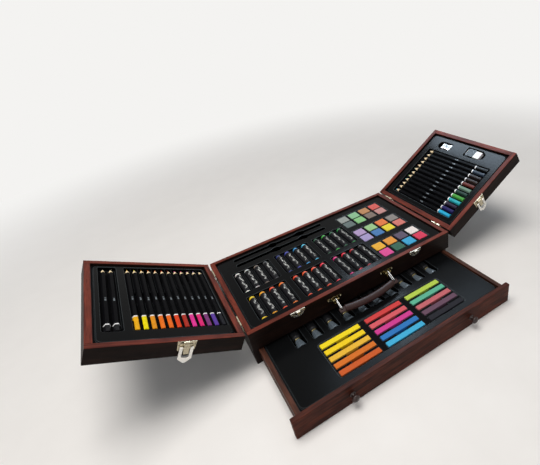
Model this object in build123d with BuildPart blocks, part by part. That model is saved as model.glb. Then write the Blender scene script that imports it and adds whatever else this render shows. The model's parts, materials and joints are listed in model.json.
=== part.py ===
"""Wooden art box: a case with a drawer, two hinged tray wings, latches and a carrying handle.

Origin at the centre of the case's underside. X runs across the case, -Y is the front,
Z is up. The box stands open: both wings raised against their stops, the drawer pulled out.
"""
import os
from math import cos, radians, sin

from build123d import *

os.makedirs("parts", exist_ok=True)

# Case
case_width = 440.0
case_depth = 245.0
case_height = 80.0
case_wall = 9.0
front_rail_height = 39.0
bottom_thickness = 5.0
deck_thickness = 3.0
edge_round = 0.8

# Drawer
drawer_extension = 152.0
drawer_front_thickness = 8.0
drawer_front_margin = 0.8
drawer_side_thickness = 8.0
drawer_back_thickness = 7.0
drawer_bottom_thickness = 3.0
drawer_side_gap = 0.6
drawer_floor_gap = 0.8
drawer_rear_gap = 4.0
drawer_side_drop = 2.8
drawer_back_drop = 0.8
runner_depth = 4.0
runner_height = 6.0
runner_clearance = 0.4
stop_block_length = 14.0
stop_block_width = 12.0
stop_clearance = 0.3

# Knobs on the drawer front
knob_spacing = 246.0
knob_radius = 6.5
knob_base_radius = 4.5
knob_neck_radius = 3.2
knob_length = 13.0
knob_spigot_radius = 2.5
knob_spigot_length = 6.0

# Wings
wing_gap = 2.0
wing_height = 27.0
wing_rail = 10.0
wing_panel_thickness = 4.0
wing_raise = 30.0
rim_gap = 0.3

# Hinges
hinge_spacing = 164.0
hinge_length = 25.0
hinge_leaf_height = 17.0
hinge_leaf_thickness = 1.0
hinge_barrel_radius = 1.7
hinge_pin_radius = 1.0
hinge_seat_gap = 0.1
knuckle_length = 8.0
knuckle_gap = 0.3
pin_clearance = 0.05
stop_tab_drop = 5.0
stop_tab_thickness = 1.5
stop_tab_width = 7.0
stop_tab_clearance = 0.25

# Screws
screw_radius = 1.0
screw_length = 6.0
screw_head_radius = 1.8
screw_head_height = 0.7
screw_clearance = 0.05

# Latches: a plate, a lever and a loop on each wing, and a keeper on the case
latch_from_centre = 130.0
latch_plate_width = 28.0
latch_plate_height = 16.4
latch_plate_taper = 1.5
latch_plate_corner = 3.0
latch_plate_from_rim = 0.6
latch_sheet = 1.0
latch_pin_radius = 0.8
latch_pin_from_rim = 5.5
latch_pin_standoff = 3.1
latch_ear_thickness = 1.0
latch_ear_radius = 1.9
latch_knuckle_radius = 1.7
latch_side_play = 0.25
latch_bridge_height = 1.8
latch_bridge_width = 11.0
lever_width = 8.0
lever_throw = 5.0
lever_straight = 11.0
lever_reach = 14.5
lever_lip_rise = 1.8
loop_leg_width = 4.5
loop_sheet = 1.4
loop_window_length = 17.0
loop_window_corner = 3.0
loop_shoulder = 19.0
loop_reach = 26.0
loop_tip_width = 7.0
trunnion_length = 3.0
keeper_width = 28.0
keeper_bar_height = 3.2
keeper_bar_thickness = 1.8
keeper_from_rim = 1.0
keeper_drop = 13.0
keeper_band = 5.0
hook_width = 6.6
hook_catch = 2.1
hook_lip_thickness = 1.1
hook_clearance = 0.3
hook_lip_clearance = 0.5

# Carrying handle
handle_spacing = 116.0
handle_from_rim = 16.0
handle_rest = 65.0
bracket_width = 30.0
bracket_height = 7.0
bracket_sheet = 1.0
bracket_bar_radius = 1.5
bracket_bar_length = 9.0
bracket_bar_standoff = 5.5
bracket_post_width = 2.0
bracket_lip_width = 8.0
bracket_lip_thickness = 1.2
ring_wire_radius = 1.0
ring_clearance = 0.4
ring_length = 18.0
grip_length = 104.0
grip_bow = 6.6
grip_height = 13.0
grip_thickness = 10.0
grip_tab_length = 13.0
grip_tab_height = 9.0
grip_tab_thickness = 2.6
grip_hole_radius = 1.8

# Moulded trays
tray_sheet = 1.2
tray_gap = 0.5
tray_corner = 5.0
tray_step = 2.5
plateau_corner = 9.0
pocket_corner = 3.0
top_tray_drop = 3.5
top_tray_flange = 2.0
drawer_tray_drop = 1.7
drawer_tray_flange = 2.4
wing_tray_drop = 3.0
wing_tray_flange = 3.5
fit_gap = 0.3

# Oil pastels with paper sleeves
pastel_radius = 6.0
sleeve_thickness = 0.4
pastel_length = 69.0
sleeve_length = 60.0
sleeve_from_back = 7.0
pastel_pitch = 20.0
pastel_per_group = 4
pastel_group_pitch = 90.0
pastel_group_shift = -62.0
pastel_rows_y = (22.0, -64.0)
pastel_recess = 5.0
pastel_proud = 0.5

# Watercolour cakes
cake_size = 22.5
cake_thickness = 5.0
cake_pitch_x = 29.0
cake_pitch_y = 26.5
cake_columns = 4
cake_rows = 2
cake_groups = 3
cake_group_pitch = 70.0
cake_group_x = 130.0
cake_group_y = -4.0
cake_sunk = 0.6
cake_field_recess = 1.5

# Brushes
brush_length = 203.0
brush_handle_length = 165.0
brush_radius = 3.4
brush_ferrule_length = 26.0
brush_ferrule_radius = 2.6
brush_tuft_radius = 1.2
brush_pitch = 21.0
brush_slot_x = -69.0
brush_slot_y = 89.5
brush_sunk = 2.5
brush_side_play = 2.4
brush_bulge_xs = (-85.0, -19.0)
brush_bulge_length = 24.0
brush_bulge_width = 17.0

# Soft pastels in the drawer
chalk_size = 10.0
chalk_length = 77.0
chalk_pitch_y = 15.8
chalk_pitch_x = 90.0
chalk_columns = 3
chalk_rows = 5
chalk_x = 4.0
chalk_y = -61.0
chalk_proud = 0.3
chalk_field_margin = 3.0
chalk_field_recess = 1.5
chalk_field_corner = 6.0
finger_notch = 24.0

# Paint tubes in the drawer
tube_radius = 9.0
tube_length = 66.0
tube_crimp_length = 5.0
tube_crimp_thickness = 1.6
tube_collar_length = 2.0
tube_collar_radius = 7.0
cap_length = 20.0
cap_neck_radius = 4.4
cap_mouth_radius = 9.0
tube_pitch = 32.6
tube_count = 10
tube_front_y = -5.0
tube_sunk = 0.3

# Pencils
pencil_size = 8.5
pencil_length = 186.0
pencil_cone = 18.0
pencil_point_radius = 0.5
pencil_pitch = 11.75
pencil_count = 12
pencil_first_left = 22.5
pencil_first_right = 29.5
pencil_y_left = 9.0
pencil_y_right = -1.0
graphite_count = 2
graphite_pitch = 12.0
graphite_first = 178.0
pencil_side_play = 1.1
pencil_proud = 0.6
pencil_field_recess = 1.5
pencil_notch = 30.0

# Sharpener and eraser
sharpener_length = 26.0
sharpener_width = 16.0
sharpener_height = 10.0
sharpener_u = 184.0
sharpener_y = 53.0
sharpener_bore_radius = 4.2
blade_length = 23.0
blade_width = 8.0
blade_thickness = 0.6
eraser_length = 40.0
eraser_width = 20.0
eraser_height = 9.6
eraser_u = 188.0
eraser_y = -29.0
eraser_sleeve_length = 22.0
eraser_sleeve_thickness = 0.5
tool_side_play = 2.5
tool_notch_radius = 9.5

# Places worked out from the sizes above
half_width = case_width / 2
half_depth = case_depth / 2
inner_half_width = half_width - case_wall
inner_half_depth = half_depth - case_wall
deck_low = case_height - front_rail_height
deck_high = deck_low + deck_thickness
drawer_outer_half = inner_half_width - drawer_side_gap
drawer_inner_half = drawer_outer_half - drawer_side_thickness
drawer_low = bottom_thickness + drawer_floor_gap
drawer_side_high = deck_low - drawer_side_drop
drawer_back_high = deck_low - drawer_back_drop
drawer_front_inner = -half_depth + drawer_front_thickness
drawer_rear = inner_half_depth - drawer_rear_gap
drawer_back_front = drawer_rear - drawer_back_thickness
runner_middle = (drawer_low + drawer_side_high) / 2
groove_depth = runner_depth - drawer_side_gap + runner_clearance
axis_from_side = hinge_barrel_radius + hinge_seat_gap
axis_height = case_height + rim_gap / 2
wing_width = half_width - wing_gap / 2
wing_rim = -rim_gap / 2
wing_back = wing_rim - wing_height
wing_inner_low = wing_back + wing_panel_thickness
sleeve_radius = pastel_radius + sleeve_thickness
pencil_radius = pencil_size / 2
pencil_slot_width = pencil_size / cos(radians(30)) + pencil_side_play
latch_hook_edge = (axis_height + rim_gap / 2 + latch_pin_from_rim + lever_throw) - loop_window_length
tube_end_y = tube_front_y + cap_length + tube_collar_length + tube_length

drawer_place = Plane(origin=(0, -drawer_extension, 0))
front_face = Plane(origin=(0, -half_depth, 0), x_dir=(1, 0, 0), z_dir=(0, -1, 0))
drawer_face = Plane(origin=(0, -half_depth - drawer_extension, 0), x_dir=(1, 0, 0), z_dir=(0, -1, 0))
hands = {"left": -1, "right": 1}


def wing_place(side):
    """The hinge axis of a wing, with X along the raised wing and Z square to its rim."""
    lift = radians(wing_raise)
    return Plane(
        origin=(side * (half_width + axis_from_side), 0, axis_height),
        x_dir=(cos(lift), 0, side * sin(lift)),
        z_dir=(-side * sin(lift), 0, cos(lift)),
    )


def face_of(place, x, z):
    """The front face of a wing, with X along the wing, Y towards its rim and Z outwards."""
    return Plane(
        origin=place.from_local_coords((x, -half_depth, z)),
        x_dir=place.x_dir,
        z_dir=(0, -1, 0),
    )


def across(place, x, y, z):
    """A plane square to the place's X axis, at a point given in the place's own axes."""
    return Plane(origin=place.from_local_coords((x, y, z)), x_dir=place.y_dir, z_dir=place.x_dir)


def along_depth(place, x, y, z):
    """A plane square to the place's Y axis that faces the front, at a point in its axes."""
    return Plane(origin=place.from_local_coords((x, y, z)), x_dir=place.x_dir, z_dir=-place.y_dir)


def save(piece, name):
    """Label a finished piece and write it."""
    piece.part.label = name
    export_step(piece.part, f"parts/{name}.step")


def screw_set(seats):
    """Pan-headed screws, each seat a plane on the surface that the head sits on."""
    with BuildPart() as screws:
        for seat in seats:
            with BuildSketch(seat):
                Circle(screw_head_radius)
            extrude(amount=screw_head_height)
            head_top = seat.from_local_coords((0, 0, screw_head_height))
            rims = screws.edges().filter_by(GeomType.CIRCLE)
            fillet(rims.sort_by_distance(head_top)[0], screw_head_height * 0.6)
            with BuildSketch(seat):
                Circle(screw_radius)
            extrude(amount=-screw_length)
    return screws


def drill(seats, depth=screw_length):
    """Pilot holes for screws, cut in the part that is being built."""
    for seat in seats:
        with BuildSketch(seat) as hole:
            Circle(screw_radius + screw_clearance)
        extrude(hole.sketch, amount=-depth - screw_clearance, mode=Mode.SUBTRACT)


# Seats of the screws, listed once for the pieces that they pass through
hinge_ys = (-hinge_spacing / 2, hinge_spacing / 2)
screw_offsets = (-hinge_length / 3, hinge_length / 3)
leaf_screw_drop = hinge_leaf_height * 0.68


def case_leaf_seats(side):
    """Screw seats on the outer face of the case leaves of one side."""
    x = side * (half_width + hinge_leaf_thickness)
    z = axis_height - leaf_screw_drop
    return [
        Plane(origin=(x, y + dy, z), x_dir=(0, 1, 0), z_dir=(side, 0, 0))
        for y in hinge_ys for dy in screw_offsets
    ]


def wing_leaf_seats(side):
    """Screw seats on the outer face of the wing leaves of one side."""
    place = wing_place(side)
    x = side * (axis_from_side - hinge_leaf_thickness)
    return [
        Plane(origin=place.from_local_coords((x, y + dy, -leaf_screw_drop)),
              x_dir=(0, 1, 0), z_dir=-side * place.x_dir)
        for y in hinge_ys for dy in screw_offsets
    ]


def latch_u(side):
    """Distance of a latch from the hinge axis, along the wing."""
    return side * (half_width + axis_from_side - latch_from_centre)


def latch_seats(side):
    """Screw seats on a latch plate."""
    face = face_of(wing_place(side), latch_u(side), wing_rim)
    x = latch_plate_width / 2 - screw_head_radius - 0.6
    y = -latch_plate_from_rim - latch_plate_height / 3
    return [
        Plane(origin=face.from_local_coords((dx, y, latch_sheet)), x_dir=face.x_dir, z_dir=(0, -1, 0))
        for dx in (-x, x)
    ]


keeper_top = case_height - keeper_from_rim
keeper_screw_x = keeper_width / 2 - 3.0
keeper_screw_z = keeper_top - keeper_bar_height - screw_head_radius - 0.4
handle_z = case_height - handle_from_rim
bracket_screw_x = bracket_width / 2 - screw_head_radius - 0.8
keeper_xs = (-latch_from_centre, latch_from_centre)
bracket_xs = (-handle_spacing / 2, handle_spacing / 2)
keeper_seats = [
    Plane(origin=front_face.from_local_coords((x + dx, keeper_screw_z, latch_sheet)), z_dir=(0, -1, 0),
          x_dir=(1, 0, 0))
    for x in keeper_xs for dx in (-keeper_screw_x, keeper_screw_x)
]
bracket_seats = [
    Plane(origin=front_face.from_local_coords((x + dx, handle_z, bracket_sheet)), z_dir=(0, -1, 0),
          x_dir=(1, 0, 0))
    for x in bracket_xs for dx in (-bracket_screw_x, bracket_screw_x)
]

# Case walls
with BuildPart() as back_panel:
    with BuildSketch():
        with Locations((0, half_depth - case_wall / 2)):
            Rectangle(case_width, case_wall)
    extrude(amount=case_height)
    fillet(back_panel.edges().filter_by(Axis.Z).group_by(Axis.Y)[-1], edge_round * 2)
    fillet(back_panel.faces().sort_by(Axis.Z)[-1].edges(), edge_round)
save(back_panel, "back_panel")

for hand, side in hands.items():
    with BuildPart() as side_panel:
        with BuildSketch():
            with Locations((side * (half_width - case_wall / 2), 0)):
                Rectangle(case_wall, 2 * inner_half_depth)
        extrude(amount=case_height)
        fillet(side_panel.edges().filter_by(Axis.Y).group_by(Axis.Z)[-1], edge_round)
        drill(case_leaf_seats(side))
    save(side_panel, f"{hand}_side_panel")

with BuildPart() as front_rail:
    with BuildSketch(Plane.XY.offset(deck_low)):
        with Locations((0, -half_depth + case_wall / 2)):
            Rectangle(case_width, case_wall)
    extrude(amount=front_rail_height)
    fillet(front_rail.edges().filter_by(Axis.Z).group_by(Axis.Y)[0], edge_round * 2)
    fillet(front_rail.faces().sort_by(Axis.Z)[-1].edges(), edge_round)
    drill(keeper_seats + bracket_seats)
save(front_rail, "front_rail")

with BuildPart() as bottom_panel:
    with BuildSketch():
        Rectangle(2 * inner_half_width, 2 * inner_half_depth)
    extrude(amount=bottom_thickness)
save(bottom_panel, "bottom_panel")

with BuildPart() as deck_panel:
    with BuildSketch(Plane.XY.offset(deck_low)):
        Rectangle(2 * inner_half_width, 2 * inner_half_depth)
    extrude(amount=deck_thickness)
save(deck_panel, "deck_panel")

with BuildPart() as drawer_runners:
    with BuildSketch(Plane.XY.offset(runner_middle - runner_height / 2)):
        for side in hands.values():
            with Locations((side * (inner_half_width - runner_depth / 2), 0)):
                Rectangle(runner_depth, 2 * inner_half_depth)
    extrude(amount=runner_height)
save(drawer_runners, "drawer_runners")

# Two blocks under the deck catch the drawer's back at full travel
stop_block_back = drawer_back_front - drawer_extension - stop_clearance
stop_block_low = drawer_side_high + stop_clearance
with BuildPart() as drawer_stops:
    with BuildSketch(Plane.XY.offset(stop_block_low)):
        with Locations((-inner_half_width / 2, stop_block_back - stop_block_width / 2),
                       (inner_half_width / 2, stop_block_back - stop_block_width / 2)):
            Rectangle(stop_block_length, stop_block_width)
    extrude(amount=deck_low - stop_block_low)
save(drawer_stops, "drawer_stops")

# Drawer box
with BuildPart() as drawer_front:
    with BuildSketch(drawer_place.offset(drawer_front_margin)):
        with Locations((0, -half_depth + drawer_front_thickness / 2)):
            Rectangle(case_width, drawer_front_thickness)
    extrude(amount=deck_low - 2 * drawer_front_margin)
    fillet(drawer_front.edges().filter_by(Axis.Z).group_by(Axis.Y)[0], edge_round * 2)
    fillet(drawer_front.edges().filter_by(Axis.X).group_by(Axis.Y)[0], edge_round)
    with BuildSketch(drawer_face):
        with Locations((-knob_spacing / 2, deck_low / 2), (knob_spacing / 2, deck_low / 2)):
            Circle(knob_spigot_radius + pin_clearance)
    extrude(amount=-knob_spigot_length - pin_clearance, mode=Mode.SUBTRACT)
save(drawer_front, "drawer_front")

with BuildPart() as drawer_knobs:
    for x in (-knob_spacing / 2, knob_spacing / 2):
        centre = Plane(origin=drawer_face.from_local_coords((x, deck_low / 2, 0)),
                       x_dir=(1, 0, 0), z_dir=(0, 0, -1))
        with BuildSketch(centre):
            with BuildLine():
                Polyline((0, -knob_spigot_length), (knob_spigot_radius, -knob_spigot_length),
                         (knob_spigot_radius, 0), (knob_base_radius, 0), (knob_base_radius, 1.2),
                         (knob_neck_radius, knob_length * 0.35))
                Spline((knob_neck_radius, knob_length * 0.35), (knob_radius, knob_length * 0.7),
                       (knob_radius * 0.72, knob_length * 0.95), (0, knob_length),
                       tangents=((0, 1), (-1, 0)))
                Line((0, knob_length), (0, -knob_spigot_length))
            make_face()
        revolve(axis=Axis(centre.origin, centre.y_dir))
save(drawer_knobs, "drawer_knobs")

with BuildPart() as drawer_sides:
    with BuildSketch(drawer_place.offset(drawer_low)):
        for side in hands.values():
            with Locations((side * (drawer_outer_half - drawer_side_thickness / 2),
                            (drawer_front_inner + drawer_rear) / 2)):
                Rectangle(drawer_side_thickness, drawer_rear - drawer_front_inner)
    extrude(amount=drawer_side_high - drawer_low)
    with BuildSketch(drawer_place.offset(runner_middle - runner_height / 2 - runner_clearance)):
        for side in hands.values():
            with Locations((side * (drawer_outer_half - groove_depth / 2),
                            (drawer_front_inner + drawer_rear) / 2)):
                Rectangle(groove_depth, drawer_rear - drawer_front_inner)
    extrude(amount=runner_height + 2 * runner_clearance, mode=Mode.SUBTRACT)
    fillet(drawer_sides.edges().filter_by(Axis.Y).group_by(Axis.Z)[-1], edge_round)
save(drawer_sides, "drawer_sides")

with BuildPart() as drawer_back:
    with BuildSketch(drawer_place.offset(drawer_low)):
        with Locations((0, drawer_rear - drawer_back_thickness / 2)):
            Rectangle(2 * drawer_inner_half, drawer_back_thickness)
    extrude(amount=drawer_back_high - drawer_low)
save(drawer_back, "drawer_back")

with BuildPart() as drawer_bottom:
    with BuildSketch(drawer_place.offset(drawer_low)):
        with Locations((0, (drawer_front_inner + drawer_back_front) / 2)):
            Rectangle(2 * drawer_inner_half, drawer_back_front - drawer_front_inner)
    extrude(amount=drawer_bottom_thickness)
save(drawer_bottom, "drawer_bottom")


def tray_shell(place, width, depth, high, low, flange, middle_y=0.0, middle_x=0.0):
    """A moulded sheet on a skirt, with a low flange round its edge and a raised plateau inside it."""
    for wall, mode in ((0.0, Mode.ADD), (tray_sheet, Mode.SUBTRACT)):
        for inset, corner, top in ((0.0, tray_corner, high - tray_step), (flange, plateau_corner, high)):
            with BuildSketch(place.offset(low)) as outline:
                with Locations((middle_x, middle_y)):
                    RectangleRounded(width - 2 * (inset + wall), depth - 2 * (inset + wall), corner - wall)
            extrude(outline.sketch, amount=top - wall - low, mode=mode)


def pocket_block(place, high, spots, width, depth, drop):
    """Closed blocks under the sheet that the pockets are sunk in."""
    with BuildSketch(place.offset(high - tray_sheet)) as block:
        with Locations(*spots):
            Rectangle(width + 2 * tray_sheet, depth + 2 * tray_sheet)
    extrude(block.sketch, amount=-drop)


def sink(place, high, spots, width, depth, drop, corner=pocket_corner):
    """Pockets with rounded corners sunk from the sheet's top."""
    with BuildSketch(place.offset(high)) as pocket:
        with Locations(*spots):
            RectangleRounded(width, depth, corner)
    extrude(pocket.sketch, amount=-drop, mode=Mode.SUBTRACT)


# Top tray with its pockets
top_tray_high = case_height - top_tray_drop
pastel_group_xs = [pastel_group_shift + pastel_group_pitch * i for i in (-1, 0, 1)]
pastel_groups = [(x, y) for y in pastel_rows_y for x in pastel_group_xs]
pastel_offsets = [pastel_pitch * (i - (pastel_per_group - 1) / 2) for i in range(pastel_per_group)]
pastel_spots = [(x + dx, y) for x, y in pastel_groups for dx in pastel_offsets]
pastel_axis = top_tray_high + pastel_proud - sleeve_radius
pastel_floor = pastel_axis - sleeve_radius - fit_gap
pastel_group_width = pastel_pitch * pastel_per_group
pastel_group_depth = pastel_length + 4 * fit_gap
cake_group_ys = [cake_group_y + cake_group_pitch * (i - (cake_groups - 1) / 2)
                 for i in range(cake_groups)]
cake_fields = [(cake_group_x, y) for y in cake_group_ys]
cake_field_width = cake_pitch_x * cake_columns
cake_field_depth = cake_pitch_y * cake_rows
cake_spots = [
    (cake_group_x + cake_pitch_x * (i - (cake_columns - 1) / 2),
     y + cake_pitch_y * (j - (cake_rows - 1) / 2))
    for y in cake_group_ys for j in range(cake_rows) for i in range(cake_columns)
]
cake_top = top_tray_high - cake_sunk
cake_pocket = cake_size + 2 * fit_gap
brush_ys = [brush_slot_y - brush_pitch / 2, brush_slot_y + brush_pitch / 2]
brush_spots = [(brush_slot_x, y) for y in brush_ys]
brush_axis = top_tray_high - brush_sunk - brush_radius
brush_slot_width = 2 * brush_radius + brush_side_play
brush_bulges = [(x, y) for x in brush_bulge_xs for y in brush_ys]
brush_slot_drop = brush_sunk + 2 * brush_radius + fit_gap
cake_drop = cake_sunk + cake_thickness + fit_gap

with BuildPart() as top_tray:
    tray_shell(Plane.XY, 2 * (inner_half_width - tray_gap), 2 * (inner_half_depth - tray_gap),
               top_tray_high, deck_high, top_tray_flange)
    pocket_block(Plane.XY, top_tray_high, pastel_groups, pastel_group_width, pastel_group_depth,
                 top_tray_high - pastel_floor)
    pocket_block(Plane.XY, top_tray_high, cake_fields, cake_field_width, cake_field_depth, cake_drop)
    pocket_block(Plane.XY, top_tray_high, [(brush_slot_x, brush_slot_y)], brush_length + 12,
                 brush_pitch + brush_bulge_width, brush_slot_drop)
    sink(Plane.XY, top_tray_high, pastel_groups, pastel_group_width - 2, pastel_group_depth, pastel_recess)
    sink(Plane.XY, top_tray_high, pastel_spots, 2 * sleeve_radius + 2, pastel_group_depth,
         top_tray_high - pastel_floor, 1.0)
    sink(Plane.XY, top_tray_high, cake_fields, cake_field_width, cake_field_depth, cake_field_recess)
    sink(Plane.XY, top_tray_high, cake_spots, cake_pocket, cake_pocket, cake_drop, 2.0)
    sink(Plane.XY, top_tray_high, brush_spots, brush_length + 8, brush_slot_width, brush_slot_drop,
         brush_slot_width / 2 - 0.1)
    with BuildSketch(Plane.XY.offset(top_tray_high)):
        with Locations(*brush_bulges):
            Ellipse(brush_bulge_length / 2, brush_bulge_width / 2)
    extrude(amount=-brush_slot_drop, mode=Mode.SUBTRACT)
save(top_tray, "top_tray")

with BuildPart() as oil_pastels:
    for x, y in pastel_spots:
        with BuildSketch(along_depth(Plane.XY, x, y + pastel_length / 2, pastel_axis)):
            Circle(pastel_radius)
        extrude(amount=pastel_length)
save(oil_pastels, "oil_pastels")

with BuildPart() as pastel_sleeves:
    for x, y in pastel_spots:
        with BuildSketch(along_depth(Plane.XY, x, y + pastel_length / 2 - sleeve_from_back, pastel_axis)):
            Circle(sleeve_radius)
            Circle(pastel_radius + pin_clearance, mode=Mode.SUBTRACT)
        extrude(amount=sleeve_length)
save(pastel_sleeves, "pastel_sleeves")

with BuildPart() as watercolour_cakes:
    with BuildSketch(Plane.XY.offset(cake_top - cake_thickness)):
        with Locations(*cake_spots):
            RectangleRounded(cake_size, cake_size, 1.5)
    extrude(amount=cake_thickness)
    chamfer(watercolour_cakes.faces().group_by(Axis.Z)[-1].edges(), 0.6)
save(watercolour_cakes, "watercolour_cakes")


def brush_section(profile):
    """Turn a profile of (distance from the handle's end, radius) points into both brushes."""
    for x, y in brush_spots:
        spine = Plane(origin=(x + brush_length / 2, y, brush_axis), x_dir=(-1, 0, 0), z_dir=(0, 1, 0))
        with BuildSketch(spine) as section:
            with BuildLine():
                Polyline((profile[0][0], 0), *profile, (profile[-1][0], 0), close=True)
            make_face()
        revolve(section.sketch, axis=Axis(spine.origin, spine.x_dir))


brush_tuft_start = brush_handle_length + brush_ferrule_length
with BuildPart() as brush_handles:
    brush_section([(0, 1.2), (3, 1.9), (brush_handle_length * 0.7, brush_radius),
                   (brush_handle_length * 0.85, brush_radius), (brush_handle_length, brush_ferrule_radius)])
save(brush_handles, "brush_handles")

with BuildPart() as brush_ferrules:
    brush_section([(brush_handle_length, brush_ferrule_radius + 0.15),
                   (brush_handle_length + 8, brush_ferrule_radius + 0.15),
                   (brush_tuft_start, brush_tuft_radius + 0.9)])
save(brush_ferrules, "brush_ferrules")

with BuildPart() as brush_tufts:
    brush_section([(brush_tuft_start, brush_tuft_radius + 0.7),
                   (brush_tuft_start + 5, brush_tuft_radius + 1.0), (brush_length, 0.3)])
save(brush_tufts, "brush_tufts")

# Drawer tray with its pockets
drawer_tray_high = drawer_side_high - drawer_tray_drop
drawer_tray_low = drawer_low + drawer_bottom_thickness
drawer_tray_y = (drawer_front_inner + drawer_back_front) / 2
chalk_xs = [chalk_x + chalk_pitch_x * (i - (chalk_columns - 1) / 2) for i in range(chalk_columns)]
chalk_ys = [chalk_y + chalk_pitch_y * (j - (chalk_rows - 1) / 2) for j in range(chalk_rows)]
chalk_spots = [(x, y) for x in chalk_xs for y in chalk_ys]
chalk_low = drawer_tray_high + chalk_proud - chalk_size
chalk_drop = drawer_tray_high - chalk_low + fit_gap
tube_xs = [tube_pitch * (i - (tube_count - 1) / 2) for i in range(tube_count)]
tube_axis = drawer_tray_high - tube_sunk - tube_radius
tube_drop = tube_sunk + 2 * tube_radius + fit_gap
tube_pocket_length = tube_end_y - tube_front_y + 4
chalk_field_width = chalk_pitch_x * (chalk_columns - 1) + chalk_length + 2 * chalk_field_margin
chalk_field_depth = chalk_pitch_y * (chalk_rows - 1) + chalk_size + 2 * chalk_field_margin
chalk_field = [(chalk_x, chalk_y)]
tube_spots = [(x, (tube_front_y + tube_end_y) / 2) for x in tube_xs]

with BuildPart() as drawer_tray:
    tray_shell(drawer_place, 2 * (drawer_inner_half - tray_gap),
               drawer_back_front - drawer_front_inner - 2 * tray_gap,
               drawer_tray_high, drawer_tray_low, drawer_tray_flange, drawer_tray_y)
    pocket_block(drawer_place, drawer_tray_high, chalk_field, chalk_field_width, chalk_field_depth,
                 chalk_drop)
    pocket_block(drawer_place, drawer_tray_high, tube_spots, 2 * tube_radius + 4, tube_pocket_length,
                 tube_drop)
    sink(drawer_place, drawer_tray_high, chalk_field, chalk_field_width, chalk_field_depth,
         chalk_field_recess, chalk_field_corner)
    sink(drawer_place, drawer_tray_high, chalk_spots, chalk_length + 2 * fit_gap,
         chalk_size + 2 * fit_gap, chalk_drop, 1.0)
    sink(drawer_place, drawer_tray_high, [(x, chalk_y) for x in chalk_xs], finger_notch,
         chalk_pitch_y * chalk_rows - 2, chalk_drop * 0.75)
    sink(drawer_place, drawer_tray_high, tube_spots, 2 * tube_radius + 3, tube_pocket_length - 1, tube_drop)
save(drawer_tray, "drawer_tray")

with BuildPart() as soft_pastels:
    with BuildSketch(drawer_place.offset(chalk_low)):
        with Locations(*chalk_spots):
            Rectangle(chalk_length, chalk_size)
    extrude(amount=chalk_size)
    chamfer(soft_pastels.edges().filter_by(Axis.X), 0.7)
save(soft_pastels, "soft_pastels")

with BuildPart() as tube_bodies:
    for x in tube_xs:
        shoulder = along_depth(drawer_place, x, tube_front_y + cap_length + tube_collar_length, tube_axis)
        with BuildSketch(shoulder):
            Circle(tube_collar_radius)
        with BuildSketch(shoulder.offset(-3.0)):
            Circle(tube_radius)
        loft()
        with BuildSketch(shoulder.offset(-3.0)):
            Circle(tube_radius)
        extrude(amount=-tube_length * 0.25)
        with BuildSketch(shoulder.offset(-3.0 - tube_length * 0.25)):
            Circle(tube_radius)
        with BuildSketch(shoulder.offset(-tube_length + tube_crimp_length)):
            Ellipse(tube_radius * 1.1, tube_crimp_thickness / 2)
        loft()
        with BuildSketch(shoulder.offset(-tube_length + tube_crimp_length)):
            Rectangle(tube_radius * 2.2, tube_crimp_thickness)
        extrude(amount=-tube_crimp_length)
save(tube_bodies, "tube_bodies")

with BuildPart() as tube_collars:
    for x in tube_xs:
        seat_y = tube_front_y + cap_length + tube_collar_length
        with BuildSketch(along_depth(drawer_place, x, seat_y, tube_axis)):
            Circle(tube_collar_radius)
        extrude(amount=tube_collar_length)
    fillet(tube_collars.edges().group_by(Axis.Y)[0], tube_collar_length * 0.4)
save(tube_collars, "tube_collars")

with BuildPart() as tube_caps:
    for x in tube_xs:
        neck = along_depth(drawer_place, x, tube_front_y + cap_length, tube_axis)
        with BuildSketch(neck):
            RegularPolygon(cap_neck_radius, 8)
        with BuildSketch(neck.offset(cap_length - 3.0)):
            RegularPolygon(cap_mouth_radius, 8)
        loft()
        with BuildSketch(neck.offset(cap_length - 3.0)):
            RegularPolygon(cap_mouth_radius, 8)
        extrude(amount=3.0)
save(tube_caps, "tube_caps")

# Hinges
hinge_pin_half = hinge_length / 2


def knuckle(place, middle_y, length):
    """One rolled knuckle round the hinge axis of a place, in the part being built."""
    with BuildSketch(along_depth(place, 0, middle_y + length / 2, 0)) as barrel:
        Circle(hinge_barrel_radius)
    extrude(barrel.sketch, amount=length)


def bore_knuckles(place, radius):
    """Bore the hinge axis right through the knuckles of a place."""
    for y in hinge_ys:
        with BuildSketch(along_depth(place, 0, y + hinge_length / 2 + 1, 0)) as bore:
            Circle(radius)
        extrude(bore.sketch, amount=hinge_length + 2, mode=Mode.SUBTRACT)


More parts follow.
